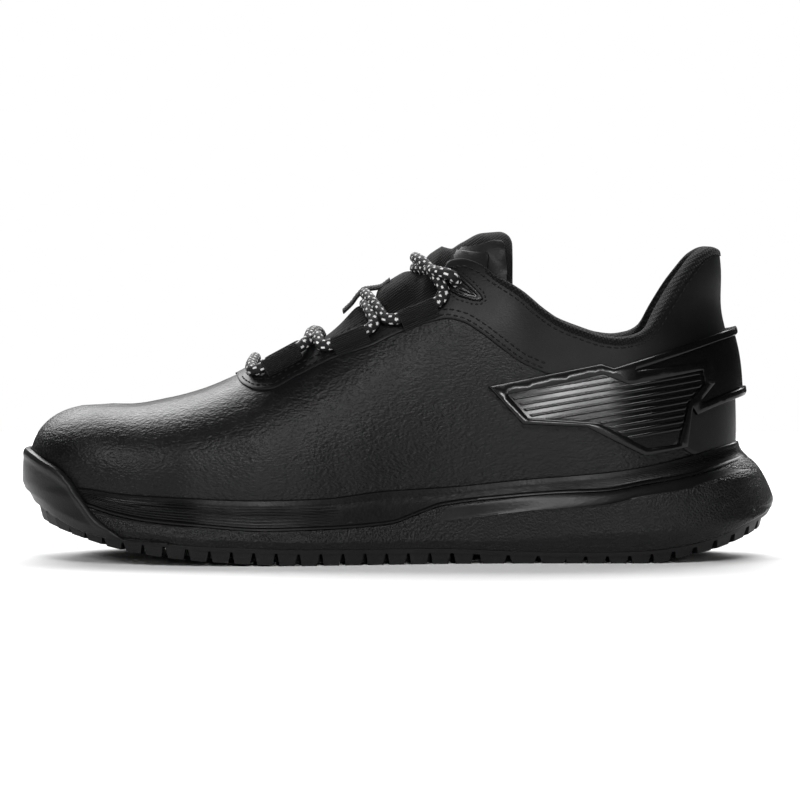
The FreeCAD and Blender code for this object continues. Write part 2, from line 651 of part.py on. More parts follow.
def eyelet_bore(side):
    at, n = on_dome(side, EYELET[0], EYELET[1], -12.0)
    return Part.makeCylinder(EYELET_HOLE / 2, 20.0, at, n)


def eyelet_plate(side):
    outline_points = [(17.8, 114.2), (18.8, 116.0), (21.6, 116.4), (27, 112.6), (32.9, 105.9),
                      (32.6, 104.4), (30.6, 104.2), (23, 105.6), (18.8, 108.0), (17.6, 111.2)]
    half = Part.makeBox(200, FAR, 200, Vector(-60, min(0, side * FAR), 20))
    curve = Part.BSplineCurve()
    curve.interpolate([Vector(x, -FAR, z) for x, z in outline_points], PeriodicFlag=True)
    tear = prism(Part.Wire(curve.toShape()))
    plate = upper_body(PLATE_THICK).common(tear).common(half).cut(upper_body(0.1))
    return plate.cut(eyelet_bore(side))


def loop_axis(side, low, high):
    a, na = on_dome(side, low[0], low[1])
    b, nb = on_dome(side, high[0], high[1])
    t = (b - a).normalize()
    n = na + nb
    n = (n - t * n.dot(t)).normalize()
    lift = n * (LOOP_OUTER + 0.4)
    return a + lift, b + lift, t, n


def lace_loop(side, low, high):
    a, b, t, n = loop_axis(side, low, high)
    length = (b - a).Length
    across = t.cross(n)
    tube = Part.makeCylinder(LOOP_OUTER, length, a, t)
    corners = [a + across * LOOP_OUTER, a - across * LOOP_OUTER,
               a - across * (LOOP_OUTER + 1.2) - n * (LOOP_OUTER + 2),
               a + across * (LOOP_OUTER + 1.2) - n * (LOOP_OUTER + 2)]
    foot = Part.Face(Part.makePolygon(corners + corners[:1])).extrude(t * length)
    bore = Part.makeCylinder(LACE / 2 + LOOP_PLAY, length + 4, a - t * 2, t)
    return tube.fuse(foot).cut(bore).cut(upper_body(0.1))


def rounded_path(points):
    """Straight runs joined by tangent arcs, each as large as its two runs allow."""
    edges, radii = [], []
    start = points[0]
    for before, at, after in zip(points, points[1:], points[2:]):
        into, out = before - at, after - at
        turn = math.pi - into.getAngle(out)
        back = 0.45 * min(into.Length, out.Length)
        radii.append(back / math.tan(turn / 2))
        a = at + into.normalize() * back
        b = at + out.normalize() * back
        bisector = (into + out).normalize()
        centre_distance = back / math.sin(turn / 2)
        middle = at + bisector * (centre_distance - radii[-1])
        edges.append(Part.LineSegment(start, a).toShape())
        edges.append(Part.Arc(a, middle, b).toShape())
        start = b
    edges.append(Part.LineSegment(start, points[-1]).toShape())
    return Part.Wire(edges), radii


# The lace's route, from the tip inside the lateral side to the tip inside the medial side,
# before CENTRE_Y is added.
LACE_ROUTE = [
    (-84, -15, 23.0), (-60, -21, 21.5), (-34, -21, 22.6), (-9, -19, 26.0), (11, -18, 32),
    (22, -17, 47), (26, -15.5, 66), (26, -14, 86),
    # out of the lateral eyelet and over the tongue, under the other strand
    (23.8, -13.2, 105.0), (22.0, -28.3, 113.7), (18.8, -28.9, 115.2), (14.0, -23.0, 116.0),
    (10.5, -15.0, 117.0), (6.2, -5, 117.0), (6.2, 5, 117.0), (10.5, 13.5, 116.6), (16.3, 22.8, 111.6),
    # medial loop c, over the tongue, lateral loop b
    (18.8, 26.8, 104.4), (-4.8, 25.9, 94.9), (-10.4, 21.0, 99.0), (-13.2, 12, 103.0),
    (-14.2, 4, 102.6), (-14.2, -5, 102.6), (-13.6, -15.5, 103.2), (-11.9, -25.0, 99.2),
    (-8.8, -32.5, 93.9), (-31.4, -31.9, 84.9),
    # over the tongue, medial loop a, across the front, lateral loop a
    (-32.8, -24.0, 90.0), (-33.6, -16, 90.2), (-34.6, -5, 87.2), (-35.4, 5, 87.2), (-36.2, 12.0, 89.2),
    (-36.8, 20.1, 87.2), (-58.8, 25.4, 75.2), (-62.5, 18.5, 77.4), (-61.6, 8, 79.7),
    (-61.6, -8, 79.7), (-62.8, -22, 77.0), (-58.9, -30.2, 75.2), (-36.9, -24.9, 87.3),
    # over the tongue, above the other strand, medial loop b
    (-36.2, -16.0, 90.6), (-35.4, -5.5, 91.6), (-34.2, 5.5, 91.6), (-32.6, 16.8, 90.4),
    (-31.3, 25.5, 84.5), (-8.6, 26.3, 93.6),
    # over the tongue, lateral loop c
    (-11.2, 20.8, 99.6), (-13.4, 11.5, 105.2), (-14.2, 4, 107.0), (-14.2, -5, 107.0),
    (-12.4, -15.5, 105.4), (-8.6, -25.0, 100.6), (-4.6, -32, 95.2), (18.9, -30.5, 104.6),
    # over the tongue and into the medial eyelet
    (16.0, -25.0, 112.2), (10, -14, 119.2), (6.5, -5, 121.3), (6.0, 5, 121.3), (9.0, 13, 119.4),
    (13.8, 20.8, 115.8), (18.5, 26.0, 115.0), (21.7, 25.4, 113.4), (24.4, 9.8, 105.6),
    (26, 12, 86), (26, 14, 66), (22, 15, 47), (11, 16, 32), (-9, 17, 26.0), (-34, 18, 22.6),
    (-60, 18, 21.5), (-84, 14, 23.0)]


def lace():
    points = [Vector(*point) for point in LACE_ROUTE]
    path, radii = rounded_path(points)
    ring = Part.Wire(Part.makeCircle(LACE / 2, points[0], points[1] - points[0]))
    add("lace", path.makePipeShell([ring], True, False))
    section = math.pi * LACE ** 2 / 4
    print("lace %.1f mm, volume ratio %.4f, radii %s" % (
        path.Length, NODES["lace"].Volume / (section * path.Length),
        " ".join("%.1f" % r for r in radii)))
    tips = []
    for end, before in ((points[0], points[1]), (points[-1], points[-2])):
        out = (end - before).normalize()
        tips.append(Part.makeCylinder(LACE / 2 - 0.2, AGLET, end, out))
    add("lace_aglets", Part.makeCompound(tips))


# ---- build -----------------------------------------------------------------------------
def main():
    upper_layers()
    sole_parts()
    heel_clip()
    tongue()
    for name, side in (("lateral", -1), ("medial", 1)):
        add("eyelet_plate_" + name, eyelet_plate(side))
        for key, low, high in LOOPS:
            add("lace_loop_%s_%s" % (name, key), lace_loop(side, low, high))
    lace()
    os.makedirs("parts", exist_ok=True)
    for name, shape in NODES.items():
        placed = shape.copy()
        placed.translate(Vector(0, CENTRE_Y, 0))
        placed.exportStep("parts/%s.step" % name)
        box = placed.BoundBox
        print("%-22s %5d mm3 valid %s solids %d  x %.1f %.1f y %.1f %.1f z %.1f %.1f" % (
            name, placed.Volume, placed.isValid(), len(placed.Solids), box.XMin, box.XMax,
            box.YMin, box.YMax, box.ZMin, box.ZMax))


main()
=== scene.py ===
"""Left golf shoe: the visible surfaces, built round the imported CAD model."""
import math

import bmesh
import bpy
import numpy as np
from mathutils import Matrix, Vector
from mathutils.geometry import delaunay_2d_cdt


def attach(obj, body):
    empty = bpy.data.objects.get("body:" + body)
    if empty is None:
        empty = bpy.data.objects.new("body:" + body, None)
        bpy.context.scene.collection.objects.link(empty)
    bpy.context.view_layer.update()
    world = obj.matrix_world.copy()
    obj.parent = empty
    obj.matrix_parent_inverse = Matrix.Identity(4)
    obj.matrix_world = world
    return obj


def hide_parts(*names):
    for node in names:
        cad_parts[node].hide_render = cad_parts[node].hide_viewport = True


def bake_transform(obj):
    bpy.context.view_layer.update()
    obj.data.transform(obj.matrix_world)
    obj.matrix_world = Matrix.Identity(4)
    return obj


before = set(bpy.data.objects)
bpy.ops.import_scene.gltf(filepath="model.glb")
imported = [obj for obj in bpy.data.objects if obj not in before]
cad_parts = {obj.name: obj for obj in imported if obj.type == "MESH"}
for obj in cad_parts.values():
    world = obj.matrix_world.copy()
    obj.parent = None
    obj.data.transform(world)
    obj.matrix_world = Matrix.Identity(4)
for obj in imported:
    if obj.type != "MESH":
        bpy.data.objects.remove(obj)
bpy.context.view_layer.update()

MM = 0.001
CENTRE_Y = 3.0            # the shoe's centre plane in the frame, mm

# ---- sizes of the shoe, as in the CAD model, mm -----------------------------------------
TOE_TIP, HEEL_TIP = -150.6, 135.6
TOE_ARC_X, HEEL_ARC_X = -82.0, 84.0
OUTLINE_POWER = 2.25
OPEN_TOP = 190.0
LACE = 4.0
TONGUE_END = 45.3


def smooth(points):
    """A function through points (x, value) that never overshoots them."""
    xs = [p[0] for p in points]
    ys = [p[1] for p in points]
    step = [(ys[i + 1] - ys[i]) / (xs[i + 1] - xs[i]) for i in range(len(xs) - 1)]
    slope = [step[0]]
    for a, b in zip(step, step[1:]):
        slope.append(0.0 if a * b <= 0 else 2 * a * b / (a + b))
    slope.append(step[-1])

    def value(x):
        if x <= xs[0]:
            return ys[0]
        if x >= xs[-1]:
            return ys[-1]
        i = max(k for k in range(len(xs) - 1) if xs[k] <= x)
        h = xs[i + 1] - xs[i]
        t = (x - xs[i]) / h
        return (ys[i] * (1 + 2 * t) * (1 - t) ** 2 + h * slope[i] * t * (1 - t) ** 2
                + ys[i + 1] * t * t * (3 - 2 * t) - h * slope[i + 1] * t * t * (1 - t))

    return value


def bump(x, centre, width):
    return math.exp(-((x - centre) / width) ** 2)


def ramp(x, start, end):
    """0 before start, 1 after end, smooth between."""
    t = min(1.0, max(0.0, (x - start) / (end - start)))
    return t * t * (3 - 2 * t)


HALF_WIDTH = {
    -1: smooth([(-152, 48), (-120, 50), (-100, 52.5), (-80, 54.5), (-60, 54.5), (-40, 52.5),
                (-20, 48.5), (0, 44), (20, 40.5), (40, 38.5), (60, 37.5), (85, 37), (137, 36)]),
    1: smooth([(-152, 47), (-120, 48.5), (-100, 49), (-80, 48), (-60, 45.5), (-40, 41.5),
               (-20, 37.5), (0, 35.2), (20, 34.8), (40, 35.5), (60, 36.4), (85, 36.6), (137, 36)]),
}
FEATHER = smooth([(-153, 31), (-126, 29.7), (-110, 27.8), (-85, 26.6), (-56, 25.6), (-29, 26.2),
                  (-7, 28.8), (20, 30.3), (48, 33), (81, 35.7), (97, 38), (113, 41.4),
                  (126, 44.7), (137, 47)])
RIDGE = smooth([(-117, 62.2), (-110, 62.1), (-93.6, 64.6), (-81, 67.9), (-69, 72.7), (-57, 79),
                (-45, 85.3), (-28.6, 95.8), (-12.4, 107.5), (-0.2, 115.3), (12, 123.5),
                (24, 130), (40, 133.5), (47, 137), (60, 156), (80, 180), (100, OPEN_TOP)])
SECTION_POWER = smooth([(-117, 2.65), (-95, 2.5), (-60, 2.2), (-20, 2.0), (110, 2.0)])
OPENING = smooth([(-64, 78.5), (-56, 77.4), (-40.8, 84.1), (-13, 94.2), (12, 103.8), (15.6, 109),
                  (17.5, 116), (20, 120.2), (25, 120.9), (32.3, 118.6), (38.4, 114.1), (48.5, 107.6),
                  (56.7, 100.7), (64.8, 95.4), (72.9, 92.2), (81, 89.6), (87, 88.9), (93.2, 89.8),
                  (98, 92), (105.4, 102.3), (113.5, 114.5), (121.6, 123.1), (126, 124.9), (131, 123)])
GROUND = smooth([(-153, 20.5), (-146, 17.1), (-138, 14), (-126, 10.2), (-111, 6.3), (-95, 3.7),
                 (-80, 2.2), (-60, 0.9), (-36, 0), (99, 0), (114, 2.8), (124, 4.9), (133, 7.7),
                 (146, 13), (153, 16)])
RUBBER_TOP = smooth([(-153, 27), (-148.6, 24), (-143, 22), (-135.6, 18.3), (-128, 15), (-122, 13),
                     (-111, 11), (-99.7, 10.4), (-87, 8.5), (-71, 7.7), (-28.6, 6.4), (16, 6.3),
                     (40, 5.3), (65, 4.6), (81, 4.6), (101, 5.3), (118, 7.9), (130, 11.6),
                     (142, 16.5), (151.3, 20.9), (154, 22)])
CARRIER_EDGE = smooth([(-153, 26), (-126, 23), (-113, 19.6), (-100, 17.3), (-79, 15.4), (-54, 13.7),
                       (-29, 14.2), (-4, 16), (8, 20), (17, 23), (40, 25.7), (65, 27.7), (81, 28.4),
                       (97, 31.1), (113.5, 33.8), (125.7, 36.8), (138, 40.6)])
CREASE = smooth([(-153, 27), (-126, 21), (-100, 16.8), (-79, 14.9), (-54, 13.2), (-29, 13.7), (0, 15.6),
                 (24, 18), (50, 21), (81, 23.6), (97, 27), (113.5, 29.6), (121.6, 32.1), (136, 35.3),
                 (146, 37)])
SEAM = smooth([(-66.6, 76.4), (-65.2, 73.1), (-62.7, 70.7), (-57.1, 68.8), (-52.2, 69.0),
               (-40.8, 74.3), (-25.4, 81.6), (-12.4, 85.7), (-0.2, 91.4), (12, 95.6), (18.5, 97),
               (24.2, 96), (32.3, 91.4), (40.4, 85.3), (48.5, 79.6), (57.9, 75.5), (80, 66),
               (100, 54), (118, 42), (140, 30)])


# ---- the upper's surface ----------------------------------------------------------------
def outline(side, s):
    """Plan outline at the welt: s 0..1 round the toe, 1..2 along the side, 2..3 round the heel."""
    if 1.0 <= s <= 2.0:
        x = TOE_ARC_X + (s - 1.0) * (HEEL_ARC_X - TOE_ARC_X)
        return x, side * HALF_WIDTH[side](x)
    toe = s < 1.0
    angle = math.pi / 2 * (s if toe else 3.0 - s)
    c, q = max(0.0, math.cos(angle)), math.sin(angle)
    r = (c ** OUTLINE_POWER + q ** OUTLINE_POWER) ** (-1.0 / OUTLINE_POWER)
    if toe:
        x = TOE_ARC_X - (TOE_ARC_X - TOE_TIP) * c * r
    else:
        x = HEEL_ARC_X + (HEEL_TIP - HEEL_ARC_X) * c * r
    return x, side * HALF_WIDTH[side](x) * q * r


def outline_normal(side, s):
    if s <= 0.0:
        return -1.0, 0.0
    if s >= 3.0:
        return 1.0, 0.0
    a, b = outline(side, max(0.0, s - 0.01)), outline(side, min(3.0, s + 0.01))
    tx, ty = b[0] - a[0], b[1] - a[1]
    size = math.hypot(tx, ty)
    return -side * ty / size, side * tx / size


def spine(bx):
    """x of the ridge point that a station of the outline is joined to."""
    if bx < -105.0:
        return -105.0 + (bx + 105.0) * 0.25
    if bx > 70.0:
        return 70.0 + (bx - 70.0) * 0.35
    return bx


def section(side, s, cz):
    """Point of the leather at share cz of the height from the welt to the ridge."""
    bx, by = outline(side, s)
    sx = spine(bx)
    base = FEATHER(bx) + 2.0
    if cz <= 0.0:
        return Vector((bx, by, base + cz * (RIDGE(sx) - base)))
    n = SECTION_POWER(bx)
    out = max(0.0, 1.0 - min(1.0, cz) ** n) ** (1.0 / n)
    z = base + (RIDGE(sx) - base) * cz
    waist = 3.0 * bump(z, 100.0, 14.0) * ramp(bx, 95.0, 132.0)
    nx, ny = outline_normal(side, s)
    return Vector((sx + (bx - sx) * out - nx * waist, by * out - ny * waist, z))


def height_share(side, s, z):
    bx, _ = outline(side, s)
    base = FEATHER(bx) + 2.0
    return (z - base) / (RIDGE(spine(bx)) - base)


def normal(side, s, cz):
    """Outward normal of the leather."""
    if cz >= 0.999:
        x = spine(outline(side, s)[0])
        return Vector((RIDGE(x - 1.0) - RIDGE(x + 1.0), 0.0, 2.0)).normalized()
    e = 0.003
    dv = section(side, s, min(1.0, cz + e)) - section(side, s, cz - e)
    if s <= 0.0 or s >= 3.0:
        out = -1.0 if s <= 0.0 else 1.0
        return Vector((out * dv.z, 0.0, -out * dv.x)).normalized()
    ds = section(side, s + e, cz) - section(side, s - e, cz)
    return (ds.cross(dv) * -side).normalized()


def skin(side, s, z, d=0.0):
    """Point at a height on the leather, d off it."""
    cz = height_share(side, s, z)
    return section(side, s, cz) + normal(side, s, cz) * d


def station(x):
    """s of the stretch along the side where the outline's x is the point's own x."""
    return 1.0 + (x - TOE_ARC_X) / (HEEL_ARC_X - TOE_ARC_X)


def crossing(side, s, line, floor=-0.6):
    """Share of the height where the column s first meets a side-view line, 1 at the ridge."""
    def above(cz):
        p = section(side, s, cz)
        return p.z - line(p.x)

    spans = 24
    low = floor
    for k in range(1, spans + 1):
        high = floor + (1.0 - floor) * k / spans
        if above(high) >= 0.0:
            for _ in range(14):
                middle = 0.5 * (low + high)
                if above(middle) >= 0.0:
                    high = middle
                else:
                    low = middle
            return high
        low = high
    return 1.0


def share_per_mm(side, s):
    """Share of the column's height that one millimetre of rise takes."""
    bx, _ = outline(side, s)
    return 1.0 / (RIDGE(spine(bx)) - FEATHER(bx) - 2.0)


def on_skin(side, x, z, d=0.0):
    """The leather's point seen at (x, z) from the side, d off it."""
    s = station(x)
    for _ in range(14):
        p = skin(side, s, z, d)
        s += 0.8 * (x - p.x) / (HEEL_ARC_X - TOE_ARC_X)
        s = min(2.999, max(0.001, s))
    return skin(side, s, z, d)


def collar_depth(x, z):
    """Depth of the lining's inner face: thick foam round the collar."""
    under_edge = OPENING(x) - z
    collar = ramp(x, 25.0, 72.0) * (1.0 - ramp(under_edge, 14.0, 46.0))
    ear = 1.0 - 0.55 * ramp(z, 98.0, 118.0)
    heel = ramp(x, 60.0, 90.0)
    return 3.55 + 0.7 * heel + 5.4 * collar * ear


# ---- the sole's wall --------------------------------------------------------------------
SOLE_LEVELS = [
    (GROUND, smooth([(-151, -5.5), (-135, -1.5), (-115, 1.5), (-90, 2.5), (60, 3.2), (100, 5),
                     (125, 8.5), (136, 11)])),
    (RUBBER_TOP, smooth([(-151, -3.2), (-135, 0.5), (-115, 3), (-90, 4), (40, 4.6), (80, 6),
                         (110, 9), (128, 13.5), (136, 15.8)])),
    (lambda x: RUBBER_TOP(x) + 3.0 + 4.5 * ramp(x, 20, 90) * (1 - ramp(x, 120, 148)),
     smooth([(-151, -1.5), (-135, 1.2), (-115, 3.8), (-90, 5), (40, 5.6), (80, 7.6), (110, 10.5),
             (128, 14.6), (136, 16.6)])),
    (CREASE, smooth([(-151, -1.0), (-135, 1.2), (-115, 3), (-90, 3.6), (0, 4), (40, 4.8), (80, 6.6),
                     (110, 8.2), (128, 9.8), (136, 10.6)])),
    (lambda x: (CREASE(x) + FEATHER(x)) / 2 + 1.0,
     smooth([(-151, 0.2), (-115, 2.4), (-90, 3.0), (0, 3.0), (80, 2.6), (110, 2.8), (136, 3.4)])),
    (FEATHER, smooth([(-151, 0.8), (-90, 1.2), (80, 1.1), (136, 1.3)])),
]


def wall_out(bx, z):
    """How far the sole stands out from the welt's outline at a height."""
    levels = [(height(bx), out(bx)) for height, out in SOLE_LEVELS]
    if z <= levels[0][0]:
        return levels[0][1]
    for (z0, a), (z1, b) in zip(levels, levels[1:]):
        if z <= z1:
            return a + (b - a) * (z - z0) / max(0.01, z1 - z0)
    return levels[-1][1]


def wall(side, s, line, d=0.0):
    """Point of the sole's wall where it meets a side-view line, d off it."""
    bx, by = outline(side, s)
    nx, ny = outline_normal(side, s)
    x = bx
    for _ in range(6):
        e = wall_out(bx, line(x)) + d
        x = bx + nx * e
    return Vector((bx + nx * e, by + ny * e, line(x)))


# ---- meshes -----------------------------------------------------------------------------
def finish_mesh(name, bm, material, replaced, body="shoe", smooth_angle=40.0):
    """A smooth-shaded piece in metres that rides on a body and stands for CAD nodes."""
    bmesh.ops.remove_doubles(bm, verts=bm.verts, dist=0.004)
    bmesh.ops.dissolve_degenerate(bm, edges=bm.edges, dist=0.002)
    bmesh.ops.recalc_face_normals(bm, faces=bm.faces)
    for v in bm.verts:
        v.co = Vector((v.co.x, v.co.y + CENTRE_Y, v.co.z)) * MM
    mesh = bpy.data.meshes.new(name)
    bm.to_mesh(mesh)
    bm.free()
    mesh.materials.append(material)
    mesh.shade_smooth()
    if smooth_angle:
        mesh.set_sharp_from_angle(angle=math.radians(smooth_angle))
    obj = bpy.data.objects.new(name, mesh)
    bpy.context.scene.collection.objects.link(obj)
    if isinstance(body, str):
        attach(obj, body)
    if replaced:
        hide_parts(*replaced)
    return obj


def loft(bm, columns, ring=True, caps=True, wrap=False):
    """Faces between neighbouring columns of points; a ring column closes on itself."""
    made = [[bm.verts.new(p) for p in column] for column in columns]
    count = len(made[0])
    pairs = list(zip(made, made[1:])) + ([(made[-1], made[0])] if wrap else [])
    for a, b in pairs:
        for k in range(count if ring else count - 1):
            n = (k + 1) % count
            quad = [a[k], a[n], b[n], b[k]]
            if len({tuple(round(c, 4) for c in v.co) for v in quad}) > 2:
                bm.faces.new(quad)
    if ring and caps and not wrap:
        for end in (made[0], made[-1]):
            if len({tuple(round(c, 3) for c in v.co) for v in end}) > 2:
                bm.faces.new(end)


def steps(a, b, n):
    """n equal steps from a to b, both included."""
    return [a + (b - a) * k / n for k in range(n + 1)]


def shell(profile, stations, caps=True):
    """A closed shell on both sides of the shoe from one profile per column."""
    bm = bmesh.new()
    for side in (-1, 1):
        loft(bm, [profile(side, s) for s in stations], caps=caps)
    return bm


TOE_COLUMNS = steps(0.0, 1.0, 44)
SIDE_COLUMNS = steps(1.0, 2.0, 110)
HEEL_COLUMNS = steps(2.0, 3.0, 44)
ALL_COLUMNS = TOE_COLUMNS + SIDE_COLUMNS[1:] + HEEL_COLUMNS[1:]


# ---- materials --------------------------------------------------------------------------
def node_material(name, colour, roughness, specular=0.5, sheen=0.0, coat=0.0, coat_roughness=0.1):
    material = bpy.data.materials.new(name)
    material.use_nodes = True
    nodes = material.node_tree.nodes
    shader = nodes["Principled BSDF"]
    shader.inputs["Base Color"].default_value = (*colour, 1.0)
    shader.inputs["Roughness"].default_value = roughness
    shader.inputs["Specular IOR Level"].default_value = specular
    shader.inputs["Sheen Weight"].default_value = sheen
    shader.inputs["Coat Weight"].default_value = coat
    shader.inputs["Coat Roughness"].default_value = coat_roughness
    return material, nodes, material.node_tree.links, shader


def object_coords(nodes, links, scale=(1.0, 1.0, 1.0), turn=(0.0, 0.0, 0.0)):
    coords = nodes.new("ShaderNodeTexCoord")
    mapping = nodes.new("ShaderNodeMapping")
    mapping.inputs["Scale"].default_value = scale
    mapping.inputs["Rotation"].default_value = turn
    links.new(coords.outputs["Object"], mapping.inputs["Vector"])
    return mapping.outputs["Vector"]


def noise(nodes, links, vector, scale, detail=3.0, rough=0.5):
    node = nodes.new("ShaderNodeTexNoise")
    node.inputs["Scale"].default_value = scale
    node.inputs["Detail"].default_value = detail
    node.inputs["Roughness"].default_value = rough
    links.new(vector, node.inputs["Vector"])
    return node.outputs["Fac"]


def voronoi(nodes, links, vector, scale, feature="SMOOTH_F1"):
    node = nodes.new("ShaderNodeTexVoronoi")
    node.feature = feature
    node.inputs["Scale"].default_value = scale
    links.new(vector, node.inputs["Vector"])
    return node.outputs["Distance"]


def mapped(nodes, links, value, low, high, to_low, to_high):
    node = nodes.new("ShaderNodeMapRange")
    node.inputs["From Min"].default_value = low
    node.inputs["From Max"].default_value = high
    node.inputs["To Min"].default_value = to_low
    node.inputs["To Max"].default_value = to_high
    links.new(value, node.inputs["Value"])
    return node.outputs["Result"]


def combined(nodes, links, operation, a, b):
    node = nodes.new("ShaderNodeMath")
    node.operation = operation
    for socket, value in zip(node.inputs, (a, b)):
        if isinstance(value, float):
            socket.default_value = value
        else:
            links.new(value, socket)
    return node.outputs["Value"]


def add_bump(nodes, links, shader, height, strength, distance):
    node = nodes.new("ShaderNodeBump")
    node.inputs["Strength"].default_value = strength
    node.inputs["Distance"].default_value = distance
    links.new(height, node.inputs["Height"])
    links.new(node.outputs["Normal"], shader.inputs["Normal"])


def tint(nodes, links, shader, value, dark, light):
    ramp_node = nodes.new("ShaderNodeValToRGB")
    ramp_node.color_ramp.elements[0].position = 0.3
    ramp_node.color_ramp.elements[0].color = (*dark, 1.0)
    ramp_node.color_ramp.elements[1].position = 0.7
    ramp_node.color_ramp.elements[1].color = (*light, 1.0)
    links.new(value, ramp_node.inputs["Fac"])
    links.new(ramp_node.outputs["Color"], shader.inputs["Base Color"])


def leather(name, grain, depth, roughness, dark, light):
    """Black leather: small rounded pebbles, soft stretched creases and uneven polish."""
    material, nodes, links, shader = node_material(name, dark, roughness, 0.2)
    where = object_coords(nodes, links)
    slanted = object_coords(nodes, links, (1.0, 1.0, 1.7), (0.0, 0.5, 0.0))
    pebble = voronoi(nodes, links, slanted, grain)
    fold = noise(nodes, links, slanted, grain * 0.45, 4.0, 0.6)
    fine = noise(nodes, links, where, grain * 3.0)
    height = combined(nodes, links, "ADD", combined(nodes, links, "MULTIPLY", pebble, -0.6),
                      combined(nodes, links, "ADD", combined(nodes, links, "MULTIPLY", fold, 0.9),
                               combined(nodes, links, "MULTIPLY", fine, 0.2)))
    add_bump(nodes, links, shader, height, depth, 0.0004)
    patchy = noise(nodes, links, where, 60.0, 4.0)
    tint(nodes, links, shader, patchy, dark, light)
    links.new(mapped(nodes, links, patchy, 0.3, 0.7, roughness - 0.04, roughness + 0.05),
              shader.inputs["Roughness"])
    return material


def knit(name, pitch, dark, light, turn=0.0, roughness=0.85):
    """Rib knit or woven tape: fine wales across with a fibrous surface."""
    material, nodes, links, shader = node_material(name, dark, roughness, 0.12, sheen=0.06)
    where = object_coords(nodes, links, (1.0, 1.0, 1.0), (0.0, turn, 0.0))
    waves = []
    for direction, scale in (("X", 1.0), ("Z", 0.8), ("Y", 1.0)):
        wave = nodes.new("ShaderNodeTexWave")
        wave.bands_direction = direction
        wave.inputs["Scale"].default_value = scale * 0.314 / pitch
        wave.inputs["Distortion"].default_value = 0.6
        links.new(where, wave.inputs["Vector"])
        waves.append(wave.outputs["Fac"])
    weave = combined(nodes, links, "MULTIPLY", waves[0], waves[1])
    weave = combined(nodes, links, "ADD", weave, combined(nodes, links, "MULTIPLY", waves[2], 0.35))
    fuzz = noise(nodes, links, where, 3.0 / pitch, 3.0)
    height = combined(nodes, links, "ADD", weave, combined(nodes, links, "MULTIPLY", fuzz, 0.5))
    add_bump(nodes, links, shader, height, 0.8, pitch * 0.6)
    # The base colour follows the weave's height: painted shade in the grooves between the wales and
    # painted highlight on their crests.
    tint(nodes, links, shader, weave, dark, light)
    return material


def moulded(name, dark, light, roughness, grain, depth, coat=0.0, spread=0.05):
    """Moulded foam, rubber or plastic with a fine texture and uneven polish."""
    material, nodes, links, shader = node_material(name, dark, roughness, 0.22, coat=coat)
    where = object_coords(nodes, links)
    pits = voronoi(nodes, links, where, grain)
    fine = noise(nodes, links, where, grain * 1.7, 2.0)
    height = combined(nodes, links, "ADD", pits, combined(nodes, links, "MULTIPLY", fine, 0.8))
    add_bump(nodes, links, shader, height, depth, 0.0005)
    cloudy = noise(nodes, links, where, 45.0, 4.0)
    tint(nodes, links, shader, cloudy, dark, light)
    links.new(mapped(nodes, links, cloudy, 0.3, 0.7, roughness - spread, roughness + spread),
              shader.inputs["Roughness"])
    return material


GRAINED = leather("grained_leather_black", 800.0, 0.75, 0.37, (0.0022, 0.0022, 0.0026),
                  (0.0036, 0.0036, 0.0042))
SMOOTH = leather("smooth_leather_black", 1500.0, 0.14, 0.42, (0.0022, 0.0022, 0.0026),
                 (0.0034, 0.0034, 0.0038))
CARRIER = moulded("carrier_foam_black", (0.002, 0.002, 0.0022), (0.003, 0.003, 0.003),
                  0.32, 900.0, 0.08)
PEBBLED = moulded("midsole_foam_black", (0.002, 0.002, 0.0022), (0.003, 0.003, 0.003),
                  0.3, 1250.0, 0.7)
BUMPER = moulded("bumper_rubber_black", (0.005, 0.005, 0.0055), (0.0075, 0.0075, 0.008),
                 0.4, 1400.0, 0.1)
RUBBER = moulded("outsole_rubber_black", (0.005, 0.005, 0.0052), (0.008, 0.008, 0.008),
                 0.5, 1200.0, 0.15)
GLOSS = moulded("clip_gloss_black", (0.0012, 0.0012, 0.0014), (0.002, 0.002, 0.002), 0.2, 1500.0, 0.02,
                coat=0.1, spread=0.03)
BINDING_KNIT = knit("binding_knit_black", 0.001, (0.002, 0.002, 0.0022), (0.008, 0.008, 0.0085), 0.5)
COLLAR_KNIT = knit("collar_knit_black", 0.0016, (0.003, 0.003, 0.0034), (0.012, 0.012, 0.0125), 0.3)
TONGUE_WEAVE = knit("tongue_weave_black", 0.0007, (0.004, 0.0039, 0.0039), (0.008, 0.0078, 0.0078), 0.6)
WEBBING = knit("webbing_black", 0.0006, (0.004, 0.004, 0.0042), (0.009, 0.009, 0.0095), 0.4, 0.7)
LINING_CLOTH = knit("lining_cloth_black", 0.0018, (0.006, 0.006, 0.006), (0.016, 0.016, 0.0165))
PATCH = moulded("patch_black", (0.003, 0.003, 0.0032), (0.005, 0.005, 0.005), 0.42, 1500.0, 0.1)
PLASTIC = moulded("eyelet_plastic_black", (0.005, 0.005, 0.005), (0.008, 0.008, 0.008),
                  0.25, 1400.0, 0.05)
THREAD = moulded("thread_black", (0.002, 0.002, 0.002), (0.004, 0.004, 0.004), 0.55, 2500.0, 0.4)
FOOTBED_CLOTH = knit("footbed_cover_grey", 0.0013, (0.012, 0.012, 0.0125), (0.03, 0.03, 0.031))
BRAID = moulded("lace_braid_black", (0.005, 0.005, 0.0055), (0.012, 0.012, 0.013), 0.6, 3000.0, 0.4)
FLECK = moulded("lace_braid_white", (0.5, 0.5, 0.5), (0.68, 0.68, 0.67), 0.6, 3000.0, 0.3)
AGLET_PLASTIC = moulded("aglet_plastic_black", (0.01, 0.01, 0.01), (0.016, 0.016, 0.016),
                        0.3, 1500.0, 0.05)
BOARD_FIBRE = moulded("board_fibre", (0.28, 0.22, 0.15), (0.4, 0.33, 0.24), 0.85, 900.0, 0.4)
INNER_FOAM = moulded("inner_foam_grey", (0.05, 0.05, 0.05), (0.09, 0.09, 0.09), 0.9, 700.0, 0.6)
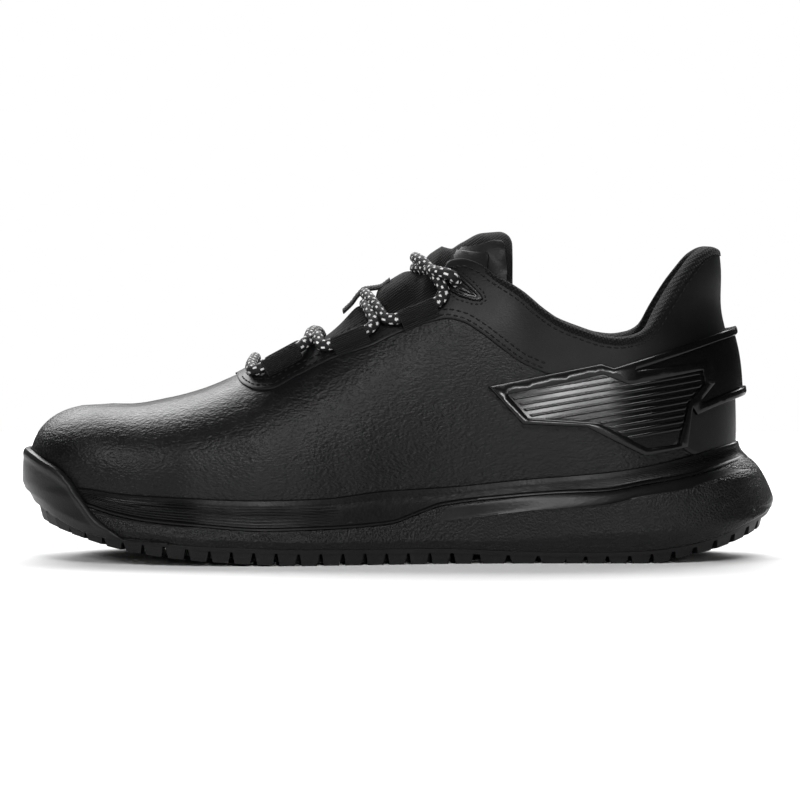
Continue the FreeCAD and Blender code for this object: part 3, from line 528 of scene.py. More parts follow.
SHANK_FIBRE = moulded("shank_fibre", (0.02, 0.02, 0.02), (0.035, 0.035, 0.035), 0.35, 600.0, 0.3)


# ---- leather upper ----------------------------------------------------------------------
OVERLAY = 0.75            # how far the smooth leather stands off the grained leather
LEATHER_IN = -1.3


def seam_line(x):
    """Lower edge of the smooth leather; ahead of it the grained leather goes on to the ridge."""
    return 500.0 if x < -66.6 else SEAM(x)


def throat_line(x):
    """Edge of the foot and tongue opening; ahead of the throat the leather closes."""
    return 500.0 if x < -57.5 else OPENING(x)


def ring_profile(side, s, low, high, outer, inner, rows=36, lip=0.5):
    """Closed cross-section between two shares of the height, with rounded edges."""
    unit = share_per_mm(side, s)
    high = max(high, low)
    edge = min(lip * unit, 0.3 * (high - low))

    def at(cz, d):
        return section(side, s, cz) + normal(side, s, cz) * d

    points = [at(low, inner), at(low, outer - lip), at(low + 0.3 * edge, outer - 0.3 * lip)]
    if high >= 0.9999:
        points += [at(cz, outer) for cz in steps(low + edge, 1.0, rows + 2)]
        points.append(at(1.0, inner))
    else:
        points += [at(cz, outer) for cz in steps(low + edge, high - edge, rows)]
        points += [at(high - 0.3 * edge, outer - 0.3 * lip), at(high, outer - lip), at(high, inner)]
    points += [at(cz, inner) for cz in steps(high, low, 8)[1:-1]]
    for p in points:
        if high >= 0.9999 and abs(p.y) < 0.02:
            p.y = 0.0
    return points


def vamp():
    """Grained leather over the toe and along both sides, up to the smooth leather."""
    def profile(side, s):
        low = crossing(side, s, lambda x: FEATHER(x) - 3.0)
        seam = crossing(side, s, seam_line)
        high = min(1.0, seam + 3.0 * share_per_mm(side, s)) if seam < 1.0 else 1.0
        high = min(high, max(low, crossing(side, s, lambda x: throat_line(x) - 1.0)))
        return ring_profile(side, s, low, high, 0.0, LEATHER_IN)

    finish_mesh("vamp_leather", shell(profile, ALL_COLUMNS), GRAINED, ["vamp"])


def quarters():
    """Smooth leather laid over the grained leather, from the throat round the heel."""
    start = station(-66.59)

    def profile(side, s):
        low = crossing(side, s, seam_line)
        high = max(low, crossing(side, s, throat_line))
        return ring_profile(side, s, low, high, OVERLAY, 0.05)

    stations = [start + (station(-56) - start) * t * t for t in steps(0, 1, 26)]
    stations += [s for s in SIDE_COLUMNS + HEEL_COLUMNS[1:] if s > station(-55.5)]
    finish_mesh("quarters_leather", shell(profile, stations), SMOOTH,
                ["quarter_lateral", "quarter_medial"])


# ---- raised plates on the upper --------------------------------------------------------
HEEL_RUN = 72.0           # length of the heel's arc in the flat pattern
CENTRE_BACK = HEEL_ARC_X + HEEL_RUN


def pattern_of(s):
    """Flat-pattern coordinate along the shoe of a column."""
    if s <= 2.0:
        return TOE_ARC_X + (s - 1.0) * (HEEL_ARC_X - TOE_ARC_X)
    return HEEL_ARC_X + (s - 2.0) * HEEL_RUN


def station_of(q):
    """The column at a flat-pattern coordinate."""
    if q <= HEEL_ARC_X:
        return station(q)
    return min(3.0, 2.0 + (q - HEEL_ARC_X) / HEEL_RUN)


def unrolled(side, x, z):
    """Flat-pattern coordinate of the leather's point seen at (x, z) from the side."""
    low, high = 1.0, 3.0
    if skin(side, high, z).x <= x:
        return CENTRE_BACK
    for _ in range(22):
        middle = (low + high) / 2
        if skin(side, middle, z).x < x:
            low = middle
        else:
            high = middle
    return pattern_of((low + high) / 2)


def flat_loop(side, corners, step=1.6):
    """A side-view polygon laid out on the flat pattern, with points along its edges."""
    loop = []
    for (x0, z0), (x1, z1) in zip(corners, corners[1:] + corners[:1]):
        count = max(1, math.ceil(math.hypot(x1 - x0, z1 - z0) / step))
        for k in range(count):
            t = k / count
            point = unrolled(side, x0 + (x1 - x0) * t, z0 + (z1 - z0) * t), z0 + (z1 - z0) * t
            if not loop or math.hypot(point[0] - loop[-1][0], point[1] - loop[-1][1]) > 0.3:
                loop.append(point)
    return loop


def loop_area(loop):
    return sum(a[0] * b[1] - b[0] * a[1] for a, b in zip(loop, loop[1:] + loop[:1])) / 2


def inset(loop, by):
    """The loop moved by a distance to the left of its direction of travel."""
    moved = []
    for k, (q, z) in enumerate(loop):
        a, b = loop[k - 1], loop[(k + 1) % len(loop)]
        n1 = (-(z - a[1]), q - a[0])
        n2 = (-(b[1] - z), b[0] - q)
        l1, l2 = math.hypot(*n1) or 1.0, math.hypot(*n2) or 1.0
        nq, nz = n1[0] / l1 + n2[0] / l2, n1[1] / l1 + n2[1] / l2
        size = max(1.0, math.hypot(nq, nz))
        if q > CENTRE_BACK - 0.1:
            moved.append((q, z + (by if nz > 0 else -by)))
        else:
            moved.append((q + nq / size * by * 2 / size, z + nz / size * by * 2 / size))
    return moved


def inside(point, loop):
    """Whether a flat-pattern point lies within a loop."""
    q, z = point
    hit = False
    for (aq, az), (bq, bz) in zip(loop, loop[1:] + loop[:1]):
        if (az > z) != (bz > z) and q < aq + (z - az) / (bz - az) * (bq - aq):
            hit = not hit
    return hit


def plateau(bm, side, corners, holes, top, low, bevel, surface=None, grid=3.0):
    """A raised plate with rounded edges whose outline is a side-view polygon.

    top(q, z) is its height off the surface, low the depth of its underside.
    """
    surface = surface or (lambda side, q, z, d: skin(side, station_of(q), z, d))
    outer = flat_loop(side, corners)
    if loop_area(outer) < 0:
        outer.reverse()
    loops = [outer]
    for hole in holes:
        loop = flat_loop(side, hole)
        if loop_area(loop) > 0:
            loop.reverse()
        loops.append(loop)
    inner = [inset(loop, bevel) for loop in loops]
    middle = [inset(loop, bevel * 0.3) for loop in loops]
    points, edges = [], []
    for loop in inner:
        start = len(points)
        points += [Vector(p) for p in loop]
        edges += [(start + k, start + (k + 1) % len(loop)) for k in range(len(loop))]
    fixed = len(points)
    qs = [p.x for p in points]
    zs = [p.y for p in points]
    for q in np.arange(min(qs) + grid, max(qs), grid):
        for z in np.arange(min(zs) + grid, max(zs), grid):
            near = min((q - p.x) ** 2 + (z - p.y) ** 2 for p in points[:fixed])
            if near > (0.35 * grid) ** 2 and inside((q, z), inner[0]):
                if not any(inside((q, z), hole) for hole in inner[1:]):
                    points.append(Vector((float(q), float(z))))
    found = delaunay_2d_cdt(points, edges, [], 0, 1e-4)
    flat, faces = found[0], found[2]
    upper = [bm.verts.new(surface(side, p.x, p.y, top(p.x, p.y))) for p in flat]
    under = [bm.verts.new(surface(side, p.x, p.y, low)) for p in flat]
    for face in faces:
        centre = sum((flat[k] for k in face), Vector((0.0, 0.0))) / len(face)
        if not inside(centre, inner[0]) or any(inside(centre, hole) for hole in inner[1:]):
            continue
        bm.faces.new([upper[k] for k in face])
        bm.faces.new([under[k] for k in reversed(face)])
    for loop, half, rim in zip(loops, middle, inner):
        rows = [[surface(side, q, z, top(q, z)) for q, z in rim],
                [surface(side, q, z, top(q, z) - bevel * 0.3) for q, z in half],
                [surface(side, q, z, top(q, z) - bevel) for q, z in loop],
                [surface(side, q, z, low) for q, z in loop],
                [surface(side, q, z, low) for q, z in rim]]
        made = [[bm.verts.new(p) for p in row] for row in rows]
        for a, b in zip(made, made[1:]):
            for k in range(len(loop)):
                n = (k + 1) % len(loop)
                if min(loop[k][0], loop[n][0]) > CENTRE_BACK - 0.1:
                    continue
                bm.faces.new([a[k], a[n], b[n], b[k]])


CLIP_OUTLINE = [(35, 70.1), (80, 79.2), (85.1, 77.5), (123.7, 89.7), (140, 94.5), (160, 94.5),
                (160, 70.5), (141.4, 68.5), (117.6, 58.7), (115.9, 61.7), (113.9, 45.9),
                (97.3, 42.6), (74.4, 54.1), (48.9, 55.2)]
CLIP_RECESS = [(42.6, 66.8), (81, 74.9), (91.2, 70.9), (119.6, 76.2), (120.8, 70.9),
               (114.5, 63.8), (110.5, 47), (98.3, 45.6), (79, 55.9), (51, 57.7)]
REAR_PANEL = [(93.0, 76.6), (123.7, 86.6), (140, 91.6), (160, 91.6), (160, 73.4), (141, 71.6),
              (120.6, 63.2), (119.4, 64.6), (124.6, 71.0), (123.2, 79.4)]
CLIP_THICK, CLIP_BACK = 2.6, 5.4
RIB_PITCH, RIB_WIDTH, RIB_SLOPE = 2.55, 1.3, 9.4
RIB_SHARE = 0.965         # of the recess that a rib's length fills
SHORTEST_RIB = 5.0


def clip_face(q, z):
    """Height of the clip's face, thicker behind the heel."""
    return CLIP_THICK + (CLIP_BACK - CLIP_THICK) * ramp(q, 122.0, 148.0)


def clipped(polygon_points, level, keep_above, slope):
    """The part of a polygon above or below a slanted line."""
    kept = []

    def height(p):
        h = p[1] - p[0] * slope - level
        return h if keep_above else -h

    for a, b in zip(polygon_points, polygon_points[1:] + polygon_points[:1]):
        ha, hb = height(a), height(b)
        if ha >= 0:
            kept.append(a)
        if (ha > 0 > hb) or (ha < 0 < hb):
            t = ha / (ha - hb)
            kept.append((a[0] + (b[0] - a[0]) * t, a[1] + (b[1] - a[1]) * t))
    return kept


def heel_clip():
    """Moulded clip: a raised frame, slanted ribs in its recess, and a strap round the heel."""
    bm = bmesh.new()
    slope = math.tan(math.radians(RIB_SLOPE))
    for side in (-1, 1):
        plateau(bm, side, CLIP_OUTLINE, [], lambda q, z: clip_face(q, z) - 1.5, 0.1, 0.2)
        plateau(bm, side, CLIP_OUTLINE, [CLIP_RECESS, REAR_PANEL], clip_face, 0.5, 0.55)
        for k in range(-3, 18):
            level = 42.0 + k * RIB_PITCH
            rib = clipped(clipped(CLIP_RECESS, level, True, slope), level + RIB_WIDTH, False, slope)
            if len(rib) > 2:
                middle_x = sum(x for x, _ in rib) / len(rib)
                rib = [(middle_x + (x - middle_x) * RIB_SHARE, z) for x, z in rib]
                if max(x for x, _ in rib) - min(x for x, _ in rib) > SHORTEST_RIB:
                    plateau(bm, side, rib, [], lambda q, z: clip_face(q, z) - 0.35, 0.6, 0.3,
                            grid=9.0)
    finish_mesh("heel_clip_moulded", bm, GLOSS, ["heel_clip"], smooth_angle=32.0)


TEARDROP = [(17.6, 111.4), (17.6, 113.8), (18.8, 115.6), (21.0, 116.0), (24.0, 114.4), (28.4, 110.6),
            (32.6, 106.2), (33.2, 104.6), (32.0, 103.8), (29.0, 104.0), (23.6, 105.6), (19.4, 108.2)]
DISH = [(20.0, 110.4), (20.2, 112.6), (21.8, 113.4), (25.0, 111.4), (30.6, 106.0), (30.4, 105.2),
        (27.0, 105.8), (22.0, 107.8)]
SLOT = [(23.0, 110.6), (25.4, 109.8), (30.0, 105.9), (27.6, 106.4), (23.6, 108.2)]


def eyelets():
    """Moulded teardrop round each top eyelet, with a dished middle."""
    for name, side in (("lateral", -1), ("medial", 1)):
        bm = bmesh.new()
        plateau(bm, side, TEARDROP, [DISH], lambda q, z: OVERLAY + 1.0, 0.4, 0.5)
        plateau(bm, side, TEARDROP, [], lambda q, z: OVERLAY + 0.2, 0.4, 0.1)
        plateau(bm, side, SLOT, [], lambda q, z: OVERLAY + 0.9, 0.4, 0.35)
        finish_mesh("eyelet_" + name, bm, PLASTIC, ["eyelet_plate_" + name])


# ---- lace loops -------------------------------------------------------------------------
LOOPS = (("a", (-53.4, 74.7), (-40.0, 82.0)),
         ("b", (-25.8, 84.5), (-12.4, 89.8)),
         ("c", (0.6, 95.4), (14.8, 101.1)))
LOOP_OUTER = 3.15


def lace_loops():
    """Webbing tunnels with ribs along them, on a foot that is sewn to the leather."""
    for name, side in (("lateral", -1), ("medial", 1)):
        for letter, low, high in LOOPS:
            a, b = on_skin(side, *low), on_skin(side, *high)
            na = on_skin(side, *low, 1.0) - a
            nb = on_skin(side, *high, 1.0) - b
            along = (b - a).normalized()
            n = (na + nb - along * (na + nb).dot(along)).normalized()
            across = along.cross(n)
            lift = LOOP_OUTER + 0.4
            columns = []
            for t in steps(0.0, 1.0, 12):
                rim = 0.12 if t in (0.0, 1.0) else 0.0
                centre = a + (b - a) * t + n * lift
                ring = [centre - across * (LOOP_OUTER + 1.5) - n * (lift + 0.5)]
                for angle in steps(math.pi * 1.08, -math.pi * 0.08, 84):
                    r = LOOP_OUTER - rim + 0.28 * math.sin(angle * 13) ** 2
                    ring.append(centre + across * math.cos(angle) * r + n * math.sin(angle) * r)
                ring.append(centre + across * (LOOP_OUTER + 1.5) - n * (lift + 0.5))
                columns.append(ring)
            bm = bmesh.new()
            loft(bm, columns)
            finish_mesh("webbing_loop_%s_%s" % (name, letter), bm, WEBBING,
                        ["lace_loop_%s_%s" % (name, letter)], smooth_angle=60.0)


# ---- collar -----------------------------------------------------------------------------
COLLAR_FROM = 33.0
BINDING_LOW = 2.4


def binding():
    """Knit binding that rolls over the padded topline."""
    def profile(side, s):
        cz = crossing(side, s, OPENING)
        unit = share_per_mm(side, s)
        low = cz - BINDING_LOW * unit
        p = section(side, s, cz)
        fade = ramp(p.x, COLLAR_FROM, COLLAR_FROM + 12.0)
        depth = collar_depth(p.x, p.z) + 0.4
        top = OVERLAY + 0.1 + 0.35 * fade
        points = [section(side, s, low) + normal(side, s, low) * 0.4]
        points += [section(side, s, c) + normal(side, s, c) * top for c in steps(low, cz - unit, 4)]
        n = normal(side, s, cz)
        for k in range(1, 12):
            a = math.pi * k / 12.0
            d = top - (top + depth) * (1.0 - math.cos(a)) / 2.0
            rise = (-1.0 + 2.4 * fade * math.sin(a) + (1.0 - fade) * math.sin(a)) * unit
            points.append(section(side, s, cz + rise) + n * d)
        points += [section(side, s, c) - normal(side, s, c) * depth for c in steps(cz - unit, low, 4)]
        points.append(section(side, s, low) - normal(side, s, low) * (depth - 0.6))
        return points

    stations = [s for s in SIDE_COLUMNS + HEEL_COLUMNS[1:] if s > station(COLLAR_FROM)]
    finish_mesh("topline_binding_knit", shell(profile, stations), BINDING_KNIT,
                ["topline_binding"])


FOOTBED_LINE = smooth([(-153, 28), (-130, 24.8), (-100, 20.8), (-70, 18.5), (-40, 18.9), (0, 23.3),
                       (40, 28.3), (80, 31.3), (137, 33.3)])


def collar_lining():
    """Padded knit from under the binding down to the footbed."""
    def profile(side, s):
        cz = crossing(side, s, OPENING)
        unit = share_per_mm(side, s)
        high = cz - (BINDING_LOW - 0.6) * unit
        low = crossing(side, s, lambda x: FOOTBED_LINE(x) - 2.0)
        points = []
        for c in steps(high, low, 40):
            p = section(side, s, c)
            points.append(p - normal(side, s, c) * (collar_depth(p.x, p.z) + 0.1))
        for c in steps(low, high, 12):
            p = section(side, s, c)
            points.append(p - normal(side, s, c) * (collar_depth(p.x, p.z) - 0.8))
        return points

    stations = [s for s in SIDE_COLUMNS + HEEL_COLUMNS[1:] if s > station(COLLAR_FROM)]
    obj = finish_mesh("collar_lining_knit", shell(profile, stations), COLLAR_KNIT,
                      ["collar_lining"])


def footbed():
    """Cushioned footbed: a cupped top face over a flat underside."""
    def profile(side, s):
        bx, by = outline(side, s)
        nx, ny = outline_normal(side, s)
        inset = collar_depth(bx, FOOTBED_LINE(bx)) + 0.4
        ex, ey = bx - nx * inset, by - ny * inset
        cx = min(100.0, max(-118.0, ex))
        points = []
        for t in steps(0.0, 1.0, 16):
            x, y = ex + (cx - ex) * t, ey * (1.0 - t)
            cup = 2.5 * (1.0 - t) ** 3 * ramp(x, -20.0, 60.0)
            points.append(Vector((x, y, FOOTBED_LINE(x) + cup)))
        points += [Vector((p.x, p.y, FOOTBED_LINE(p.x) - 4.0)) for p in reversed(points)]
        return points

    obj = finish_mesh("footbed_cushion", shell(profile, ALL_COLUMNS), FOOTBED_CLOTH,
                      ["footbed"])


# ---- tongue -----------------------------------------------------------------------------
CROSSINGS = ((-35.0, 8.4), (-14.0, 7.2), (6.0, 5.4))
TONGUE_SUNK = 0.5
TONGUE_THICK = 5.8
TONGUE_TOP = 132.0
END_RADIUS = 5.5
ROUND_OFF = 2.0
PRESSED_SHARE = 0.62      # of a crossing's depth that the padding gives way
WING = smooth([(-66, 67), (-56, 64), (-40, 70), (-13, 80), (3, 88.5), (11, 97), (15, 107),
               (19, 114.4), (25, 116), (32.3, 113.6), (38.4, 109), (TONGUE_END, 104.8)])


def tongue_depth(x, z):
    """How far the tongue's outer face lies under the leather's surface carried on."""
    covered = ramp(OPENING(x) - z, -14.0, -5.5)
    pressed = sum(PRESSED_SHARE * deep * bump(x, at, 3.3) for at, deep in CROSSINGS)
    bare = TONGUE_SUNK + pressed
    hidden = collar_depth(x, z) + 0.8
    return max(bare, bare * (1.0 - covered) + hidden * covered)


def tongue_ceiling(x):
    """Height that the tongue's flat top starts to round off at, falling away at its end."""
    past = min(1.0, max(0.0, (x - TONGUE_END + END_RADIUS) / END_RADIUS))
    return TONGUE_TOP - ROUND_OFF - END_RADIUS * (1.0 - math.sqrt(1.0 - past * past))


def tongue():
    """One padded tongue, rounded at its free end."""
    bm = bmesh.new()
    round_end = 3.2
    xs = steps(-64.0, TONGUE_END - round_end, 150)
    columns = [(x, 1.0) for x in xs]
    for k in range(1, 9):
        a = math.pi / 2 * k / 8
        columns.append((TONGUE_END - round_end + round_end * math.sin(a), math.cos(a)))
    made = []
    for x, full in columns:
        s = station(x)
        corner = 1.0 - 0.25 * (1.0 - full)
        arc, under = [], []
        for side in (-1, 1):
            low = crossing(side, s, WING)
            count = 34
            shares = steps(low, 1.0, count) if side < 0 else steps(1.0, low, count)[1:]
            for cz in shares:
                p = section(side, s, cz)
                n = normal(side, s, cz)
                n.x *= 1.0 - ramp(x, 18.0, 38.0)
                n.normalize()
                d = tongue_depth(p.x, p.z)
                edge = min(1.0, (cz - low) / max(1e-6, 5.0 * share_per_mm(side, s)))
                soft = math.sqrt(max(0.0, 1.0 - (1.0 - edge) ** 2)) * full
                middle = p - n * (d + TONGUE_THICK / 2)
                middle.z -= 2.0 * (1.0 - corner) * ramp(x, 20, 40)
                half = TONGUE_THICK / 2 * (0.15 + 0.85 * soft)
                face = middle + n * half
                over = face.z - tongue_ceiling(x)
                if over > 0.0:
                    face.z = tongue_ceiling(x) + ROUND_OFF * math.tanh(over / ROUND_OFF)
                inner = middle - n * half
                inner.z = min(inner.z, face.z - 0.2)
                arc.append(face)
                under.append(inner)
        made.append(arc + under[::-1])
    loft(bm, made)
    obj = finish_mesh("tongue_padded", bm, TONGUE_WEAVE,
                      ["tongue_outer", "tongue_foam", "tongue_lining", "tongue_tip_outer",
                       "tongue_tip_foam", "tongue_tip_lining"], body=None)
    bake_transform(obj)


def tongue_face(side, q, z, d):
    """Point on the tongue's end, d off it."""
    x = section(side, station_of(q), height_share(side, station_of(q), z)).x
    return skin(side, station_of(q), z, d - tongue_depth(x, z))


PATCH_PLATES = [
    (0.8, [(21.0, 126.4), (24.0, 128.6), (41.0, 128.4), (42.4, 126.6), (42.6, 109.0), (34.0, 113.5),
           (25.0, 118.5), (21.5, 118.5)]),
    (1.7, [(20.6, 124.6), (22.0, 127.0), (34.6, 125.4), (35.4, 124.2), (34.8, 114.5), (25.0, 119.0),
           (21.5, 119.5)]),
]


def tongue_patch():
    """Two moulded plates, one on the other, on each side of the tongue's end."""
    bm = bmesh.new()
    for side in (-1, 1):
        for lift, corners in PATCH_PLATES:
            plateau(bm, side, corners, [], lambda q, z, lift=lift: lift, -0.5, 0.45, tongue_face)
    finish_mesh("tongue_badge", bm, PATCH, ["tongue_patch"], body="tongue_tip")


KEEPER_LINE = smooth([(-23, 99.9), (-19.5, 103.3), (-17.0, 106.6), (-14.4, 108.9), (-11.6, 109.3),
                      (-8, 109.9), (-4, 112.6)])
KEEPER_WIDTH, KEEPER_THICK = 12.0, 1.4


def tongue_keeper():
    """Webbing band sewn to the tongue at both ends, over the middle lace crossing."""
    columns = []
    for x in steps(-23.0, -4.0, 48):
        z = KEEPER_LINE(x)
        slope = (KEEPER_LINE(x + 0.4) - KEEPER_LINE(x - 0.4)) / 0.8
        n = Vector((-slope, 0.0, 1.0)).normalized()
        rib = 0.1 * math.sin(x * 2 * math.pi / 1.1)
        top, low = [], []
        for t in steps(-1.0, 1.0, 16):
            rim = math.sqrt(max(0.0, 1.0 - abs(t) ** 14))
            droop = 1.1 * abs(t) ** 2.4
            at = Vector((x, t * KEEPER_WIDTH / 2, z - droop))
            top.append(at + n * (KEEPER_THICK / 2 * (0.3 + 0.7 * rim) + rib * rim))
            low.append(at - n * KEEPER_THICK / 2 * (0.3 + 0.7 * rim))
        columns.append(top + low[::-1])
    bm = bmesh.new()
    loft(bm, columns)
    finish_mesh("tongue_keeper_web", bm, WEBBING, ["tongue_keeper"])


# ---- sole -------------------------------------------------------------------------------
NOTCH = (-79.8, 6.9, 5.3)      # x, z and radius of the flex notch


def notched(x):
    """Lower edge of the midsole: the top of the rubber, raised over the flex notch."""
    away = abs(x - NOTCH[0])
    low = RUBBER_TOP(x) + 0.15
    if away >= NOTCH[2]:
        return low
    return max(low, NOTCH[1] + math.sqrt(NOTCH[2] ** 2 - away ** 2))


def midsole():
    """Pebbled foam wall with a crease that throws a facet under its top edge."""
    def profile(side, s):
        points = [wall(side, s, notched, -4.0)]
        points += [wall(side, s, notched, -0.8), wall(side, s, lambda x: notched(x) + 0.3, -0.2)]
        for t in steps(0.06, 0.94, 16):
            points.append(wall(side, s, lambda x: notched(x) + t * (CREASE(x) - notched(x))))
        points += [wall(side, s, lambda x: CREASE(x) - 0.25), wall(side, s, CREASE, 0.1)]
        for t in steps(0.1, 0.85, 4):
            points.append(wall(side, s, lambda x: CREASE(x) + t * (CARRIER_EDGE(x) - CREASE(x))))
        points += [wall(side, s, CARRIER_EDGE, -0.2), wall(side, s, CARRIER_EDGE, -1.4),
                   wall(side, s, CARRIER_EDGE, -4.0)]
        return points

    stations = TOE_COLUMNS + steps(1.0, 2.0, 260)[1:] + HEEL_COLUMNS[1:]
    obj = finish_mesh("midsole_wall", shell(profile, stations), PEBBLED, [])
    obj.data.materials.append(CARRIER)
    for face in obj.data.polygons:
        x, _, z = face.center / MM
        if z > CREASE(x):
            face.material_index = 1


RIDGES = 8
WAIST_HOLLOW = 1.3        # depth of the smooth hollow in the waist


def carrier():
    """Foam rim that holds the upper: a thin lip, then fine ridges that fade at the waist."""
    def profile(side, s):
        bx, _ = outline(side, s)
        plain = ramp(bx, -34.0, 2.0) * (1.0 - ramp(bx, 30.0, 62.0))
        points = [wall(side, s, lambda x: CARRIER_EDGE(x) + up, d)
                  for up, d in ((0.2, -4.0), (0.2, 0.1), (0.5, 0.55), (1.1, 0.6), (1.6, 0.2))]
        hollow = WAIST_HOLLOW * plain
        for k in range(RIDGES):
            for part, ridge in ((0.1, -0.3), (0.35, 0.15), (0.65, 0.2), (0.92, -0.28)):
                t = (k + part) / RIDGES
                d = ridge * (1.0 - plain) - hollow * math.sin(math.pi * t)
                points.append(wall(side, s, lambda x: (CARRIER_EDGE(x) + 1.8) * (1 - t)
                                   + (FEATHER(x) - 0.4) * t, d))
        points += [wall(side, s, lambda x: FEATHER(x) - 0.1, 0.1),
                   wall(side, s, lambda x: FEATHER(x) + 0.4, -0.6),
                   wall(side, s, lambda x: FEATHER(x) + 0.2, -4.0)]
        return points

    finish_mesh("carrier_wall", shell(profile, ALL_COLUMNS), CARRIER, [])


BUMPER_TOP = smooth([(-160, 44.3), (-151.5, 44.1), (-148, 42.8), (-143.4, 40.4), (-137.9, 37.8),
                     (-132.9, 33.8), (-127.7, 27.2), (-121.6, 19.6), (-117, 15.9), (-110.9, 11.3),
                     (-108, 9.6)])


def hull(side, s, z, d):
    """Point on the sole's wall or, above the welt, on the leather."""
    bx, by = outline(side, s)
    feather = FEATHER(bx)
    foot = Vector((*outline_normal(side, s), 0.0))
    if z <= feather + 2.0:
        return Vector((bx, by, z)) + foot * (wall_out(bx, z) + d)
    cz = height_share(side, s, z)
    rise = ramp(z, feather, feather + 8.0)
    n = (foot * (1.0 - rise) + normal(side, s, cz) * rise).normalized()
    return section(side, s, cz) + n * (d + wall_out(bx, z))


def toe_bumper():
    """Rubber guard round the toe with a thick rounded rim."""
    def profile(side, s):
        bx, _ = outline(side, s)
        low = RUBBER_TOP(bx) - 0.9
        x = bx
        for _ in range(8):
            high = max(low + 0.2, BUMPER_TOP(x))
            x = 0.5 * x + 0.5 * hull(side, s, high, 1.6).x
        thick = min(1.7, (high - low) * 0.4)
        rim = min(1.6, (high - low) * 0.35)
        corners = [(low, -0.3), (low, thick * 0.6), (low + 0.4, thick)]
        corners += [(z, thick) for z in steps(low + 0.8, high - 3 * rim, 16)]
        corners += [(high - 2.3 * rim, thick + 0.1), (high - 1.5 * rim, thick + 0.45),
                    (high - 0.8 * rim, thick + 0.4), (high - 0.25 * rim, thick),
                    (high, thick * 0.5), (high, -0.3)]
        return [hull(side, s, z, d) for z, d in corners]

    stations = steps(0.0, 0.92, 70)
    finish_mesh("toe_bumper_guard", shell(profile, stations), BUMPER, ["toe_bumper"])


# ---- stitching --------------------------------------------------------------------------
def stitch_row(bm, points, length=2.0, gap=0.85, width=0.55, lift=0.12):
    """Thread stitches along a line of points with normals: [(point, normal), ...]."""
    run = [0.0]
    for (a, _), (b, _) in zip(points, points[1:]):
        run.append(run[-1] + (b - a).length)

    def at(distance):
        k = 0
        while k < len(run) - 2 and run[k + 1] < distance:
            k += 1
        t = (distance - run[k]) / max(1e-6, run[k + 1] - run[k])
        (p, n), (q, m) = points[k], points[k + 1]
        return p.lerp(q, t), n.lerp(m, t).normalized()

    start = gap
    while start + length < run[-1]:
        rings = []
        for t, size, up in ((0.0, 0.5, -0.2), (0.18, 0.9, 0.1), (0.5, 1.0, 0.22), (0.82, 0.9, 0.1),
                            (1.0, 0.5, -0.2)):
            p, n = at(start + t * length)
            ahead, _ = at(min(run[-1], start + t * length + 0.2))
            behind, _ = at(max(0.0, start + t * length - 0.2))
            tangent = (ahead - behind).normalized()
            across = tangent.cross(n).normalized()
            centre = p + n * (lift + up * width)
            rings.append([centre + (across * math.cos(a) + n * math.sin(a)) * size * width / 2
                          for a in steps(0, 2 * math.pi, 6)[:-1]])
        loft(bm, rings)
        start += length + gap


def offset_line(points, by):
    """A side-view polyline moved sideways, as a list of (x, z)."""
    moved = []
    for k, (x, z) in enumerate(points):
        a = points[max(0, k - 1)]
        b = points[min(len(points) - 1, k + 1)]
        size = math.hypot(b[0] - a[0], b[1] - a[1])
        moved.append((x - (b[1] - a[1]) / size * by, z + (b[0] - a[0]) / size * by))
    return moved


def traced(side, points, d):
    """Points and normals on the leather, d off it, at side-view places."""
    found = []
    for x, z in points:
        p = on_skin(side, x, z, d)
        q = on_skin(side, x, z, d + 1.0)
        found.append((p, (q - p).normalized()))
    return found


TONGUE_SEAM = smooth([(-42, 84), (-27.8, 91.4), (-16.4, 97.9), (-6.3, 104.4), (4.7, 113.3),
                      (12, 118.8)])


def stitching():
    """Two rows along the seam, one under the binding, one round each eyelet and on the tongue."""
    bm = bmesh.new()
    seam = [(x, SEAM(x)) for x in steps(-64.6, 57.0, 150)]
    cuff = [(x, OPENING(x)) for x in steps(18.0, 128.0, 130)]
    for side in (-1, 1):
        for by in (1.5, 3.6):
            stitch_row(bm, traced(side, offset_line(seam, by), OVERLAY))
        stitch_row(bm, traced(side, offset_line(cuff, -BINDING_LOW - 1.0), OVERLAY))
        ring = TEARDROP + TEARDROP[:1]
        stitch_row(bm, traced(side, offset_line(ring, 1.3), OVERLAY), 1.2, 0.8)
        panel = [(x, TONGUE_SEAM(x)) for x in steps(-42.0, 12.0, 60)]
        face = [(p - n * tongue_depth(p.x, p.z), n) for p, n in traced(side, panel, 0.0)]
        stitch_row(bm, face, 1.8, 1.1)
    finish_mesh("upper_stitching", bm, THREAD, [], smooth_angle=0)


